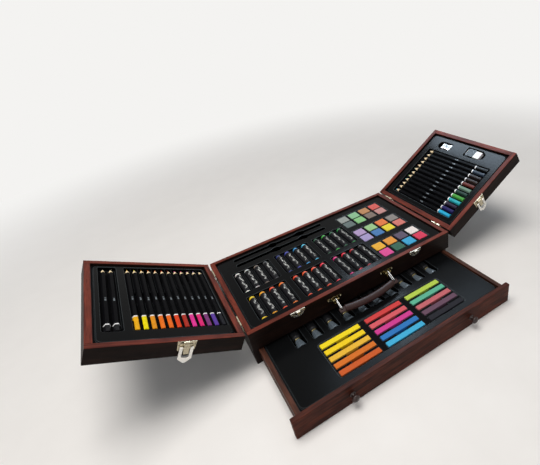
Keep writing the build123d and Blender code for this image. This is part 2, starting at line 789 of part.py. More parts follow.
centre_knuckle = hinge_length - 2 * knuckle_length - 2 * knuckle_gap
with BuildPart() as case_hinge_leaves:
    for side in hands.values():
        axis_x = side * (half_width + axis_from_side)
        place = Plane(origin=(axis_x, 0, axis_height))
        leaf_x = side * (half_width + hinge_leaf_thickness / 2)
        for y in hinge_ys:
            with BuildSketch(Plane.XY.offset(axis_height - hinge_leaf_height)):
                with Locations((leaf_x, y)):
                    Rectangle(hinge_leaf_thickness, hinge_length)
            extrude(amount=hinge_leaf_height - hinge_barrel_radius * 0.5)
            for dy in (-1, 1):
                knuckle(place, y + dy * (hinge_length - knuckle_length) / 2, knuckle_length)
            notch = centre_knuckle + 2 * knuckle_gap
            with BuildSketch(along_depth(place, 0, y + notch / 2, 0)):
                Circle(hinge_barrel_radius + knuckle_gap)
            extrude(amount=notch, mode=Mode.SUBTRACT)
        for y in hinge_ys:
            # The stop tab ends square to the wing leaf, a small clearance short of it
            lift = radians(wing_raise)
            root = axis_from_side - hinge_leaf_thickness
            reach = root - stop_tab_clearance
            corners = [(-side * root, -stop_tab_drop), (-side * root, -stop_tab_drop - stop_tab_thickness)]
            for drop in (stop_tab_drop + stop_tab_thickness, stop_tab_drop):
                down = (drop + reach * sin(lift)) / cos(lift)
                corners.append((side * (reach * cos(lift) + down * sin(lift)), -drop))
            with BuildSketch(Plane(origin=(axis_x, y + stop_tab_width / 2, axis_height),
                                   x_dir=(1, 0, 0), z_dir=(0, -1, 0))):
                with BuildLine():
                    Polyline(*corners, close=True)
                make_face()
            extrude(amount=stop_tab_width)
        bore_knuckles(place, hinge_pin_radius + pin_clearance)
        for seat in case_leaf_seats(side):
            with BuildSketch(seat):
                Circle(screw_radius + screw_clearance)
            extrude(amount=-hinge_leaf_thickness, mode=Mode.SUBTRACT)
save(case_hinge_leaves, "case_hinge_leaves")

with BuildPart() as hinge_pins:
    for side in hands.values():
        place = wing_place(side)
        for y in hinge_ys:
            with BuildSketch(along_depth(place, 0, y + hinge_pin_half, 0)):
                Circle(hinge_pin_radius)
            extrude(amount=hinge_length)
save(hinge_pins, "hinge_pins")

case_screws = screw_set(case_leaf_seats(-1) + case_leaf_seats(1) + keeper_seats + bracket_seats)
save(case_screws, "case_screws")

# Keepers on the front rail, each with a hook that the latched loop pulls up into
hook_top = keeper_top - hook_clearance
hook_root_low = latch_hook_edge + hook_clearance
hook_lip_low = latch_hook_edge - hook_catch
hook_lip_standoff = latch_pin_standoff + loop_sheet / 2 + hook_lip_clearance
with BuildPart() as latch_keepers:
    for x in keeper_xs:
        bar_low = keeper_top - keeper_bar_height
        half = keeper_width / 2
        with BuildSketch(front_face):
            with BuildLine():
                Line((x - half, keeper_top), (x + half, keeper_top))
                Line((x + half, keeper_top), (x + half, bar_low))
                ThreePointArc((x + half, bar_low), (x, keeper_top - keeper_drop), (x - half, bar_low))
                Line((x - half, bar_low), (x - half, keeper_top))
            make_face()
            with BuildLine():
                window = half - keeper_band - 1.5
                Line((x - window, bar_low), (x + window, bar_low))
                ThreePointArc((x + window, bar_low), (x, keeper_top - keeper_drop + keeper_band * 0.6),
                              (x - window, bar_low))
            make_face(mode=Mode.SUBTRACT)
        extrude(amount=latch_sheet)
        with BuildSketch(front_face):
            with Locations((x, keeper_top - keeper_bar_height / 2)):
                RectangleRounded(keeper_width, keeper_bar_height, 1.0)
        extrude(amount=keeper_bar_thickness)
        with BuildSketch(front_face):
            with Locations((x, (hook_top + hook_root_low) / 2)):
                Rectangle(hook_width, hook_top - hook_root_low)
        extrude(amount=hook_lip_standoff + hook_lip_thickness)
        with BuildSketch(front_face.offset(hook_lip_standoff)):
            with Locations((x, (hook_top + hook_lip_low) / 2)):
                RectangleRounded(hook_width, hook_top - hook_lip_low, 1.5)
        extrude(amount=hook_lip_thickness)
    for seat in keeper_seats:
        with BuildSketch(seat):
            Circle(screw_radius + screw_clearance)
        extrude(amount=-latch_sheet, mode=Mode.SUBTRACT)
save(latch_keepers, "latch_keepers")

# Handle brackets, rings and grip
bar_y = -half_depth - bracket_bar_standoff
rest = radians(handle_rest)
handle_place = Plane(origin=(0, bar_y, handle_z), x_dir=(1, 0, 0), z_dir=(0, -cos(rest), sin(rest)))
ring_bend = bracket_bar_radius + ring_clearance + ring_wire_radius
lip_reach = bracket_bar_standoff + 2.5
lip_gap = 0.3
lip_high = (handle_z - 4.0 * cos(rest) - (ring_bend + ring_wire_radius) * sin(rest)) - lip_gap

with BuildPart() as handle_brackets:
    for x in bracket_xs:
        with BuildSketch(front_face):
            with Locations((x, handle_z)):
                RectangleRounded(bracket_width, bracket_height, 2.0)
            with Locations((x, (handle_z + lip_high - bracket_lip_thickness) / 2)):
                Rectangle(bracket_lip_width, handle_z - lip_high + bracket_lip_thickness)
        extrude(amount=bracket_sheet)
        with BuildSketch(front_face):
            for dx in (-1, 1):
                with Locations((x + dx * (bracket_bar_length + bracket_post_width) / 2, handle_z)):
                    Rectangle(bracket_post_width, 2 * bracket_bar_radius)
            with Locations((x, lip_high - bracket_lip_thickness / 2)):
                Rectangle(bracket_lip_width, bracket_lip_thickness)
        extrude(amount=lip_reach - 2.5)
        with BuildSketch(front_face):
            with Locations((x, lip_high - bracket_lip_thickness / 2)):
                Rectangle(bracket_lip_width, bracket_lip_thickness)
        extrude(amount=lip_reach)
        with BuildSketch(across(Plane.XY, x - bracket_bar_length / 2 - bracket_post_width, bar_y, handle_z)):
            Circle(bracket_bar_radius)
        extrude(amount=bracket_bar_length + 2 * bracket_post_width)
    for seat in bracket_seats:
        with BuildSketch(seat):
            Circle(screw_radius + screw_clearance)
        extrude(amount=-bracket_sheet, mode=Mode.SUBTRACT)
save(handle_brackets, "handle_brackets")

with BuildPart() as handle_rings:
    for x in bracket_xs:
        ring_plane = across(handle_place, x, 0, 0)
        with BuildLine(ring_plane) as route:
            Line((0, ring_bend), (-ring_length, ring_bend))
            ThreePointArc((-ring_length, ring_bend), (-ring_length - ring_bend, 0),
                          (-ring_length, -ring_bend))
            Line((-ring_length, -ring_bend), (0, -ring_bend))
            ThreePointArc((0, -ring_bend), (ring_bend, 0), (0, ring_bend))
        start = ring_plane.from_local_coords((0, ring_bend, 0))
        with BuildSketch(Plane(origin=start, x_dir=ring_plane.z_dir, z_dir=-ring_plane.x_dir)):
            Circle(ring_wire_radius)
        sweep(path=route.wire())
save(handle_rings, "handle_rings")

eye_y = -ring_length - ring_bend
tab_x = handle_spacing / 2
bow_rise = grip_bow * (1 - (grip_length / 2 / tab_x) ** 2)
with BuildPart() as handle_grip:
    with BuildLine(handle_place) as spine:
        ThreePointArc((-grip_length / 2, eye_y - bow_rise), (0, eye_y - grip_bow),
                      (grip_length / 2, eye_y - bow_rise))
    with BuildSketch(Plane(origin=spine.line @ 0, x_dir=handle_place.z_dir, z_dir=spine.line % 0)):
        Ellipse(grip_thickness / 2, grip_height / 2)
    sweep(path=spine.line)
    with BuildSketch(handle_place.offset(-grip_tab_thickness / 2)):
        for side in hands.values():
            with Locations((side * (tab_x - grip_tab_length / 4), eye_y - 1.5)):
                RectangleRounded(grip_tab_length * 1.4, grip_tab_height, 2.5)
    extrude(amount=grip_tab_thickness)
    with BuildSketch(handle_place.offset(-grip_tab_thickness / 2)):
        for side in hands.values():
            with Locations((side * tab_x, eye_y)):
                Circle(grip_hole_radius)
    extrude(amount=grip_tab_thickness, mode=Mode.SUBTRACT)
save(handle_grip, "handle_grip")

# Wings
wing_tray_high = wing_rim - wing_tray_drop
pencil_axis = wing_tray_high + pencil_proud - pencil_radius
pencil_floor = pencil_axis - pencil_radius - fit_gap
pencil_drop = wing_tray_high - pencil_floor
tray_length = wing_width - 2 * wing_rail - 2 * tray_gap
tray_depth = case_depth - 2 * wing_rail - 2 * tray_gap


def pencil_set(place, xs, middle_y):
    """Six-sided pencils with sharpened cones, points to the back, in one part."""
    with BuildPart() as pencils:
        for x in xs:
            tip = along_depth(place, x, middle_y + pencil_length / 2, pencil_axis)
            with BuildSketch(tip.offset(pencil_cone)):
                RegularPolygon(pencil_radius, 6, major_radius=False)
            extrude(amount=pencil_length - pencil_cone)
            with BuildSketch(tip.offset(pencil_cone)):
                RegularPolygon(pencil_radius, 6, major_radius=False)
            with BuildSketch(tip):
                RegularPolygon(pencil_point_radius, 6)
            loft()
    return pencils


for hand, side in hands.items():
    place = wing_place(side)
    root = side * axis_from_side
    middle = side * (axis_from_side + wing_width / 2)

    with BuildPart() as end_rails:
        with BuildSketch(place.offset(wing_back)):
            for dy in (-1, 1):
                with Locations((middle, dy * (half_depth - wing_rail / 2))):
                    Rectangle(wing_width, wing_rail)
        extrude(amount=wing_height)
        lengthwise = Axis((0, 0, 0), place.x_dir)
        upright = Axis((0, 0, 0), place.z_dir)
        fillet(end_rails.edges().filter_by(lengthwise).group_by(upright)[-1], edge_round)
        fillet(end_rails.edges().filter_by(lengthwise).group_by(upright)[0].sort_by(Axis.Y)[0], edge_round)
        fillet(end_rails.edges().filter_by(lengthwise).group_by(upright)[0].sort_by(Axis.Y)[-1], edge_round)
        drill(latch_seats(side))
    save(end_rails, f"{hand}_wing_end_rails")

    with BuildPart() as side_rails:
        with BuildSketch(place.offset(wing_back)):
            with Locations((root + side * wing_rail / 2, 0),
                           (root + side * (wing_width - wing_rail / 2), 0)):
                Rectangle(wing_rail, case_depth - 2 * wing_rail)
        extrude(amount=wing_height)
        fillet(side_rails.edges().filter_by(Axis.Y).group_by(upright)[-1], edge_round)
        drill(wing_leaf_seats(side))
    save(side_rails, f"{hand}_wing_side_rails")

    with BuildPart() as wing_panel:
        with BuildSketch(place.offset(wing_back)):
            with Locations((middle, 0)):
                Rectangle(wing_width - 2 * wing_rail, case_depth - 2 * wing_rail)
        extrude(amount=wing_panel_thickness)
    save(wing_panel, f"{hand}_wing_panel")

    first = pencil_first_left if side < 0 else pencil_first_right
    pencil_y = pencil_y_left if side < 0 else pencil_y_right
    xs = [side * (axis_from_side + first + pencil_pitch * i) for i in range(pencil_count)]
    with BuildPart() as wing_tray:
        tray_shell(place, tray_length, tray_depth, wing_tray_high, wing_inner_low, wing_tray_flange,
                   middle_x=middle)
        width = pencil_pitch * pencil_count
        centre_x = (xs[0] + xs[-1]) / 2
        pocket_block(place, wing_tray_high, [(centre_x, pencil_y)], width, pencil_length + 6, pencil_drop)
        sink(place, wing_tray_high, [(centre_x, pencil_y)], width, pencil_length + 4, pencil_field_recess)
        sink(place, wing_tray_high, [(x, pencil_y) for x in xs], pencil_slot_width, pencil_length + 4,
             pencil_drop, 1.5)
        sink(place, wing_tray_high, [(centre_x, pencil_y - 5)], width, pencil_notch, pencil_drop)
        if side < 0:
            lead_xs = [side * (axis_from_side + graphite_first + graphite_pitch * i)
                       for i in range(graphite_count)]
            lead_x = (lead_xs[0] + lead_xs[-1]) / 2
            width = graphite_pitch * graphite_count + 4
            pocket_block(place, wing_tray_high, [(lead_x, pencil_y)], width, pencil_length + 6, pencil_drop)
            sink(place, wing_tray_high, [(lead_x, pencil_y)], width, pencil_length + 4, pencil_drop)
        else:
            # A finger notch behind the sharpener and one in front of the eraser
            for u, y, across_u, long_y, tall, end in (
                (sharpener_u, sharpener_y, sharpener_width, sharpener_length, sharpener_height, 1),
                (eraser_u, eraser_y, eraser_width, eraser_length, eraser_height, -1),
            ):
                tool_x = side * (axis_from_side + u)
                wide = across_u + 2 * tool_side_play
                long = long_y + 2 * tool_side_play
                pocket_block(place, wing_tray_high, [(tool_x, y + end * tool_notch_radius / 2)], wide,
                             long + tool_notch_radius, tall)
                sink(place, wing_tray_high, [(tool_x, y)], wide, long, tall)
                with BuildSketch(place.offset(wing_tray_high)):
                    with Locations((tool_x, y + end * long / 2)):
                        Circle(tool_notch_radius)
                extrude(amount=-tall, mode=Mode.SUBTRACT)
    save(wing_tray, f"{hand}_wing_tray")

    save(pencil_set(place, xs, pencil_y), f"{hand}_coloured_pencils")
    if side < 0:
        save(pencil_set(place, lead_xs, pencil_y), "graphite_pencils")

    with BuildPart() as wing_leaves:
        leaf = place.offset(-hinge_leaf_height)
        for y in hinge_ys:
            with BuildSketch(leaf):
                with Locations((root - side * hinge_leaf_thickness / 2, y)):
                    Rectangle(hinge_leaf_thickness, hinge_length)
            extrude(amount=hinge_leaf_height - hinge_barrel_radius * 0.5)
            for dy in (-1, 1):
                end = y + dy * (hinge_length - knuckle_length) / 2
                clear = knuckle_length + 2 * knuckle_gap
                with BuildSketch(along_depth(place, 0, end + clear / 2, 0)):
                    Circle(hinge_barrel_radius + knuckle_gap)
                extrude(amount=clear, mode=Mode.SUBTRACT)
            knuckle(place, y, centre_knuckle)
        bore_knuckles(place, hinge_pin_radius + pin_clearance)
        for seat in wing_leaf_seats(side):
            with BuildSketch(seat):
                Circle(screw_radius + screw_clearance)
            extrude(amount=-hinge_leaf_thickness, mode=Mode.SUBTRACT)
    save(wing_leaves, f"{hand}_wing_hinge_leaves")

    save(screw_set(wing_leaf_seats(side) + latch_seats(side)), f"{hand}_wing_screws")

    # Latch plate, pin, lever and loop on the wing's front face
    face = face_of(place, latch_u(side), wing_rim)
    pin_y = -latch_pin_from_rim
    loop_y = pin_y - lever_throw
    ear_x = lever_width / 2 + latch_side_play
    leg_x = ear_x + latch_ear_thickness + latch_side_play
    outer = leg_x + loop_leg_width

    def axle_plane(x, y):
        """A plane square to the latch's axles, with X towards the rim and Y outwards."""
        return Plane(origin=face.from_local_coords((x, y, latch_pin_standoff)), x_dir=face.y_dir,
                     z_dir=face.x_dir)

    with BuildPart() as latch_plate:
        plate_top = -latch_plate_from_rim
        plate_low = plate_top - latch_plate_height
        half = latch_plate_width / 2
        low_half = half - latch_plate_taper
        with BuildSketch(face):
            with BuildLine():
                Polyline((-half, plate_top), (half, plate_top), (low_half, plate_low),
                         (-low_half, plate_low), close=True)
            plate_outline = make_face()
            fillet(plate_outline.vertices().sort_by(Axis.Y)[:2], latch_plate_corner)
        extrude(amount=latch_sheet)
        bridge_low = pin_y + latch_knuckle_radius + latch_side_play
        bridge_top = plate_top - latch_side_play
        with BuildSketch(face):
            with Locations((0, (bridge_top + bridge_low) / 2)):
                Rectangle(latch_bridge_width, bridge_top - bridge_low)
        extrude(amount=latch_sheet + latch_bridge_height)
        for x in (-ear_x - latch_ear_thickness, ear_x):
            ear_foot = latch_pin_standoff - latch_sheet / 2
            with BuildSketch(axle_plane(x, pin_y)):
                Circle(latch_ear_radius)
                with Locations((0, -ear_foot / 2)):
                    Rectangle(2 * latch_ear_radius, ear_foot)
                Circle(latch_pin_radius + pin_clearance, mode=Mode.SUBTRACT)
            extrude(amount=latch_ear_thickness)
        for seat in latch_seats(side):
            with BuildSketch(seat):
                Circle(screw_radius + screw_clearance)
            extrude(amount=-latch_sheet, mode=Mode.SUBTRACT)
    save(latch_plate, f"{hand}_latch_plate")

    with BuildPart() as latch_pin:
        pin_half = ear_x + latch_ear_thickness
        with BuildSketch(axle_plane(-pin_half, pin_y)):
            Circle(latch_pin_radius)
        extrude(amount=2 * pin_half)
    save(latch_pin, f"{hand}_latch_pin")

    with BuildPart() as latch_lever:
        half_sheet = latch_sheet / 2
        with BuildSketch(axle_plane(-lever_width / 2, pin_y)):
            with BuildLine():
                Polyline((0, -half_sheet), (-lever_straight, -half_sheet),
                         (-lever_reach, lever_lip_rise - half_sheet),
                         (-lever_reach, lever_lip_rise + half_sheet),
                         (-lever_straight, half_sheet), (0, half_sheet), close=True)
            make_face()
            Circle(latch_knuckle_radius)
        extrude(amount=lever_width)
        with BuildSketch(axle_plane(-pin_half, loop_y)):
            Circle(latch_knuckle_radius)
        extrude(amount=2 * pin_half)
        for y in (pin_y, loop_y):
            with BuildSketch(axle_plane(-pin_half, y)):
                Circle(latch_pin_radius + pin_clearance)
            extrude(amount=2 * pin_half, mode=Mode.SUBTRACT)
    save(latch_lever, f"{hand}_latch_lever")

    with BuildPart() as latch_loop:
        tip_corner = loop_y - loop_reach + 1.5
        with BuildSketch(face.offset(latch_pin_standoff - loop_sheet / 2)):
            with BuildLine():
                Polyline((-loop_tip_width / 2, tip_corner), (-outer, loop_y - loop_shoulder),
                         (-outer, loop_y), (outer, loop_y), (outer, loop_y - loop_shoulder),
                         (loop_tip_width / 2, tip_corner))
                ThreePointArc((loop_tip_width / 2, tip_corner), (0, loop_y - loop_reach),
                              (-loop_tip_width / 2, tip_corner))
            make_face()
            with Locations((0, loop_y + latch_plate_height / 2 - loop_window_length / 2)):
                RectangleRounded(2 * leg_x, loop_window_length + latch_plate_height, loop_window_corner,
                                 mode=Mode.SUBTRACT)
        extrude(amount=loop_sheet)
        for end in hands.values():
            low_x = min(end * leg_x, end * outer)
            with BuildSketch(axle_plane(low_x, loop_y)):
                Circle(latch_knuckle_radius)
            extrude(amount=loop_leg_width)
            low_x = min(end * leg_x, end * (leg_x - trunnion_length))
            with BuildSketch(axle_plane(low_x, loop_y)):
                Circle(latch_pin_radius)
            extrude(amount=trunnion_length)
    save(latch_loop, f"{hand}_latch_loop")

# Sharpener and eraser in the right wing
right = wing_place(1)
tool_floor = wing_tray_high - sharpener_height + fit_gap
sharpener_x = axis_from_side + sharpener_u
with BuildPart() as sharpener_body:
    with BuildSketch(right.offset(tool_floor)):
        with BuildLine():
            half_long = sharpener_length / 2
            Polyline((sharpener_x - sharpener_width / 2, sharpener_y - half_long),
                     (sharpener_x + sharpener_width / 2, sharpener_y - half_long),
                     (sharpener_x + sharpener_width / 2 - 2, sharpener_y),
                     (sharpener_x + sharpener_width / 2 - 1, sharpener_y + half_long),
                     (sharpener_x - sharpener_width / 2 + 1, sharpener_y + half_long),
                     (sharpener_x - sharpener_width / 2 + 2, sharpener_y), close=True)
        make_face()
    extrude(amount=sharpener_height - 1.5)
    bore_z = tool_floor + sharpener_height / 2 - 1
    with BuildSketch(along_depth(right, sharpener_x, sharpener_y - half_long, bore_z)):
        Circle(sharpener_bore_radius * 0.8)
    extrude(amount=-sharpener_length * 0.8, taper=5, mode=Mode.SUBTRACT)
save(sharpener_body, "sharpener_body")

with BuildPart() as sharpener_blade:
    with BuildSketch(right.offset(tool_floor + sharpener_height - 1.5)):
        with Locations((sharpener_x + 1.5, sharpener_y)):
            RectangleRounded(blade_width, blade_length, 0.8)
    extrude(amount=blade_thickness)
save(sharpener_blade, "sharpener_blade")

eraser_x = axis_from_side + eraser_u
eraser_floor = wing_tray_high - eraser_height + fit_gap
eraser_core = eraser_height - 2 * eraser_sleeve_thickness
with BuildPart() as eraser:
    with BuildSketch(right.offset(eraser_floor + eraser_sleeve_thickness)):
        with Locations((eraser_x, eraser_y)):
            RectangleRounded(eraser_width - 1.2, eraser_length, 2.0)
    extrude(amount=eraser_core - fit_gap)
save(eraser, "eraser")

with BuildPart() as eraser_sleeve:
    sleeve_back = eraser_y + eraser_length / 2 - 1.5
    middle_z = eraser_floor + eraser_height / 2 - fit_gap / 2
    with BuildSketch(along_depth(right, eraser_x, sleeve_back, middle_z)):
        Rectangle(eraser_width, eraser_core - fit_gap + 2 * eraser_sleeve_thickness)
        Rectangle(eraser_width - 1.2 + 2 * pin_clearance, eraser_core - fit_gap, mode=Mode.SUBTRACT)
    extrude(amount=eraser_sleeve_length)
save(eraser_sleeve, "eraser_sleeve")
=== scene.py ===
"""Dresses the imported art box: wood, moulded trays, sticks, paints, fittings and the studio.

Everything is in metres in the row frame. Contents take their places from the solids of the
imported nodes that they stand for.
"""
import json
from functools import partial
from math import atan2, cos, pi, radians, sin

import bmesh
import bpy
from bpy.props import FloatProperty, FloatVectorProperty, PointerProperty
from mathutils import Matrix, Vector


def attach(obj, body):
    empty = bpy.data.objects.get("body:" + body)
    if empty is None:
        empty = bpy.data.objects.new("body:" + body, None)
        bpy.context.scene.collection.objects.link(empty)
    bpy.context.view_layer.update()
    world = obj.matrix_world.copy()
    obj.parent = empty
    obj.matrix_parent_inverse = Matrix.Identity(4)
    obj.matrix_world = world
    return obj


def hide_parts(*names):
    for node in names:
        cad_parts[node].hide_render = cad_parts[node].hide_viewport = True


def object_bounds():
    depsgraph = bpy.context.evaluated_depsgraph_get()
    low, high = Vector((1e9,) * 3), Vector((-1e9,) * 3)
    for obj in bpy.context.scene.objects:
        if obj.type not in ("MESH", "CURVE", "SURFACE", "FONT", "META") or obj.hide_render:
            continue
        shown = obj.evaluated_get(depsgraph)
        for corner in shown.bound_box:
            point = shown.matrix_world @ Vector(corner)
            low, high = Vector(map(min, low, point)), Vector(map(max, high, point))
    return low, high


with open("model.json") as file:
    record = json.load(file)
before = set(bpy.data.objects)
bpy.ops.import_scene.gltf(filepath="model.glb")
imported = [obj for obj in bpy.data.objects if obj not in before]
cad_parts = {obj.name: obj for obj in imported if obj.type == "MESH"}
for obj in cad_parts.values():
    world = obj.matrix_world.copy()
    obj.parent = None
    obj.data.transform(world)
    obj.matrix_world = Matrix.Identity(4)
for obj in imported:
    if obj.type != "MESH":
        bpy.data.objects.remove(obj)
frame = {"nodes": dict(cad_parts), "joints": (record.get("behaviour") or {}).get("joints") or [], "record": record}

bl_info = {
    "name": "Wooden art set box",
    "version": (1, 0, 0),
    "blender": (4, 5, 0),
    "location": "View3D > Sidebar > Art box",
    "description": "Dresses the packed art box with modelled contents, fittings and finishes",
    "category": "Object",
}

MM = 0.001
MERGE = 0.001 * MM
CAD_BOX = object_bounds()
NODES = frame["nodes"]
BODIES = frame["record"]["behaviour"]["bodies"]
BODY_OF = {node: body for body, nodes in BODIES.items() for node in nodes}
HERE = Matrix.Identity(4)
at = Matrix.Translation
TO_BACK = Matrix.Rotation(-pi / 2, 4, "X")
TO_FRONT = Matrix.Rotation(pi / 2, 4, "X")
WING_RAISE = radians(30)
HANDS = {"left": -1, "right": 1}
# Points of a box, as shares of its sides
MIDDLE, FOOT, HEAD = (0.5, 0.5, 0.5), (0.5, 0.5, 0), (0.5, 0.5, 1)
LEFT_END, RIGHT_END = (0, 0.5, 0.5), (1, 0.5, 0.5)
FRONT_END, BACK_END = (0.5, 0, 0.5), (0.5, 1, 0.5)

# Photograph's camera
CAMERA_AZIMUTH = radians(-26.66)
CAMERA_ELEVATION = radians(30.46)
CAMERA_ROLL = radians(-9.14)
CAMERA_DISTANCE = 0.8
CAMERA_TARGET = Vector((0.0462, 0.0049, 0.1355))
CAMERA_FOCUS = 387.4
CAMERA_CENTRE = (341.6, 216.4)
PICTURE = (540, 465)
AMBIENT = 0.16
# Where the worn foil marks of the pencils start, along the depth
MARKS_AT = {"left": -7 * MM, "right": -10 * MM}

# Colours of the sticks, from the back row to the front and from left to right
OIL_PASTELS = (
    "#F4F3EE", "#C9CCCC", "#6E6259", "#3A3A3C", "#23306E", "#4A50B0", "#3A9AD8", "#55BDE2",
    "#1E4A30", "#46B048", "#1F5A38", "#2E8A48",
    "#F6D21C", "#F5A81E", "#E8502A", "#F07A22", "#E84A24", "#EE5A2C", "#EC5A3C", "#E8344A",
    "#E0388A", "#D8243C", "#9A1C24", "#1C1A1C",
)
CAKES = (
    "#98A09C", "#8CC494", "#C08A56", "#DC5A50", "#5E6E6C", "#88C882", "#7C6C60", "#C8908C",
    "#B49CCC", "#9CCC8C", "#E87A30", "#8A8480", "#A89CD0", "#3E78B8", "#F0DC1C", "#D8786C",
    "#F0B41E", "#E89A24", "#54465E", "#F6EEEC", "#E0489A", "#1E5A44", "#30A8DC", "#DC2C54",
)
SOFT_PASTELS = (
    "#FFE61E", "#D84444", "#BFDD55", "#FFDC1E", "#E0606A", "#62BE9E", "#F5C23C", "#D8409A",
    "#CC6C74", "#E07828", "#2F7CC8", "#6A4E62", "#D2602A", "#45B9E8", "#1E1E26",
)
LEFT_PENCILS = (
    "#15151C", "#5F3FA4", "#7E3A7C", "#E62A7C", "#E8389C", "#AE3022", "#E5481E", "#F06F1C",
    "#F0761E", "#E8981E", "#F7E60C", "#F2B41A",
)
RIGHT_PENCILS = (
    "#30B6E6", "#2A2562", "#30283E", "#34B8C6", "#4EA846", "#27423A", "#769786", "#683028",
    "#302420", "#241A1A", "#303C4C", "#151515",
)


def linear(code):
    """Turn an sRGB hex colour into linear red, green, blue and alpha."""
    values = [int(code[i:i + 2], 16) / 255 for i in (1, 3, 5)]
    lit = [v / 12.92 if v <= 0.04045 else ((v + 0.055) / 1.055) ** 2.4 for v in values]
    return (*lit, 1.0)


def shades(tone, *shares):
    """The same tone with other shares of its light."""
    return [[c * share for c in tone[:3]] + [1] for share in shares]


def colour(name, description, code):
    """A colour property with an sRGB hex default."""
    return FloatVectorProperty(name=name, description=description, subtype="COLOR", size=4,
                               min=0.0, max=1.0, default=linear(code))


def length(name, description, size):
    """A length property with a default in millimetres."""
    return FloatProperty(name=name, description=description, unit="LENGTH", subtype="DISTANCE",
                         min=0.0, precision=5, default=size * MM)


class ArtBoxColours(bpy.types.PropertyGroup):
    """Colours of the finishes."""

    # Rim tones are the wood painted lit, as on its tops, and face tones the same wood painted in shade
    lit_rim_light: colour("Rim, light", "Lit grain of the rounded rims", "#823A29")
    lit_rim_dark: colour("Rim, dark", "Dark grain of the rounded rims", "#511F16")
    shaded_face_light: colour("Outer faces, light", "Lit grain of the outer faces", "#21140F")
    shaded_face_dark: colour("Outer faces, dark", "Dark grain of the outer faces", "#140C0A")
    drawer_light: colour("Drawer front, light", "Lit grain of the drawer front", "#5C2C1E")
    drawer_dark: colour("Drawer front, dark", "Dark grain of the drawer front", "#24100C")
    inside_light: colour("Inside wood, light", "Lit grain of the drawer's box", "#5A372A")
    inside_dark: colour("Inside wood, dark", "Dark grain of the drawer's box", "#38211A")
    tray: colour("Trays", "Black of the moulded trays", "#0B0C0D")
    # The crests' paler grey is a painted glint on the trays' bends
    crest: colour("Crests", "Burnished bends of the trays", "#2C3134")
    # The pockets' darker black is painted shade in the recesses
    pocket: colour("Pockets", "Matt black of the sunk pockets", "#060607")
    lacquer: colour("Pencil lacquer", "Black of the pencils", "#09090B")
    cedar_light: colour("Cedar, light", "Pale grain of the sharpened cones", "#FFEFC8")
    cedar_dark: colour("Cedar, dark", "Dark grain of the sharpened cones", "#FFE0AA")
    foil: colour("Foil band", "Bands on the pencils", "#F6F8FA")
    worn_foil: colour("Worn foil", "Rubbed foil marks on the pencils", "#6C777D")
    graphite: colour("Graphite", "Cores of the two graphite pencils", "#3A3B3E")
    sleeve: colour("Pastel sleeve", "Black paper of the sleeves", "#17171A")
    sleeve_mark: colour("Sleeve marks", "Pale marks on the sleeves", "#D4D8D6")
    nickel: colour("Nickel", "Hinges, latches and screws", "#B8AE96")
    # The near-white of the loops, keepers and ferrules is partly painted reflection, painted in beside the metal
    polish_and_painted_sheen: colour("Polished nickel", "Loops of the latches, and keepers", "#FBF8F0")
    brass: colour("Brass", "Brackets and collars", "#9C8E66")
    steel: colour("Steel", "Rings, ferrules and the blade", "#C4C6C8")
    leather_light: colour("Leather, light", "Raised grain of the grip", "#3A2826")
    leather_dark: colour("Leather, dark", "Creases of the grip", "#2A1B1A")
    foil_tube: colour("Tube foil", "Bare aluminium of the tubes' folds", "#C8CBD0")
    tube_print: colour("Tube print", "Black print of the tubes", "#121315")
    # The caps' grey is their dark plastic lifted paler as a painted highlight
    cap: colour("Caps", "Dark grey of the tubes' caps", "#4C565E")
    knob: colour("Knobs", "Lacquer of the knobs", "#1E110F")
    vinyl: colour("Eraser", "White of the eraser", "#F8F9FB")
    card: colour("Eraser sleeve", "Card of the eraser's sleeve", "#14181B")
    card_mark: colour("Card marks", "Pale marks on the eraser's sleeve", "#2E3539")
    floor: colour("Floor", "Pale studio floor", "#F4F3F1")


class ArtBoxSizes(bpy.types.PropertyGroup):
    """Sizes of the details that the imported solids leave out."""

    tray_round: length("Tray rounding", "Bend radius of the moulded trays", 0.8)
    ridge_width: length("Ridge width", "Width of the ridge round the soft pastels", 2.0)
    ridge_height: length("Ridge height", "Height of the ridge round the soft pastels", 1.3)
    ridge_outset: length("Ridge outset", "Distance of the ridge from the soft pastels", 7.5)
    ridge_corner: length("Ridge corner", "Corner radius of the ridge", 9.0)
    fitting_round: length("Fitting rounding", "Rounded edges of the pressed fittings", 0.15)
    dip_length: length("Dipped end", "Length of a pencil's coloured end", 32.0)
    band_length: length("Foil band", "Length of the band above the coloured end", 2.6)
    mark_length: length("Foil mark", "Length of the worn foil mark on a pencil", 5.0)
    recess_width: length("Recess width", "Width of the cross recess of a screw", 0.7)
    recess_depth: length("Recess depth", "Depth of the cross recess of a screw", 0.45)


def fill(tree, node, inputs):
    """Give a node its inputs: values, sockets, or nodes that stand for their first live output."""
    for name, value in inputs.items():
        if isinstance(value, bpy.types.Node):
            value = next(socket for socket in value.outputs if socket.enabled)
        if isinstance(value, bpy.types.NodeSocket):
            tree.links.new(value, node.inputs[name])
        else:
            node.inputs[name].default_value = value
    return node


def add_node(tree, kind, inputs=None, **settings):
    """Add a shader node with its settings and its inputs."""
    node = tree.nodes.new("ShaderNode" + kind)
    for name, value in settings.items():
        setattr(node, name, value)
    return fill(tree, node, inputs or {})


def start_material(name, ior=1.5, level=0.5, **values):
    """Start a material and return it with its tree and shader, whose plain values are set.

    The IOR fits lacquer, paper and most plastics, and is what metals keep. level is the
    strength of the reflections.
    """
    made = bpy.data.materials.new(name)
    made.use_nodes = True
    shader = made.node_tree.nodes["Principled BSDF"]
    named = {key.replace("_", " ").title(): value for key, value in values.items()}
    fill(made.node_tree, shader, {"IOR": ior, "Specular IOR Level": level, **named})
    return made, made.node_tree, shader


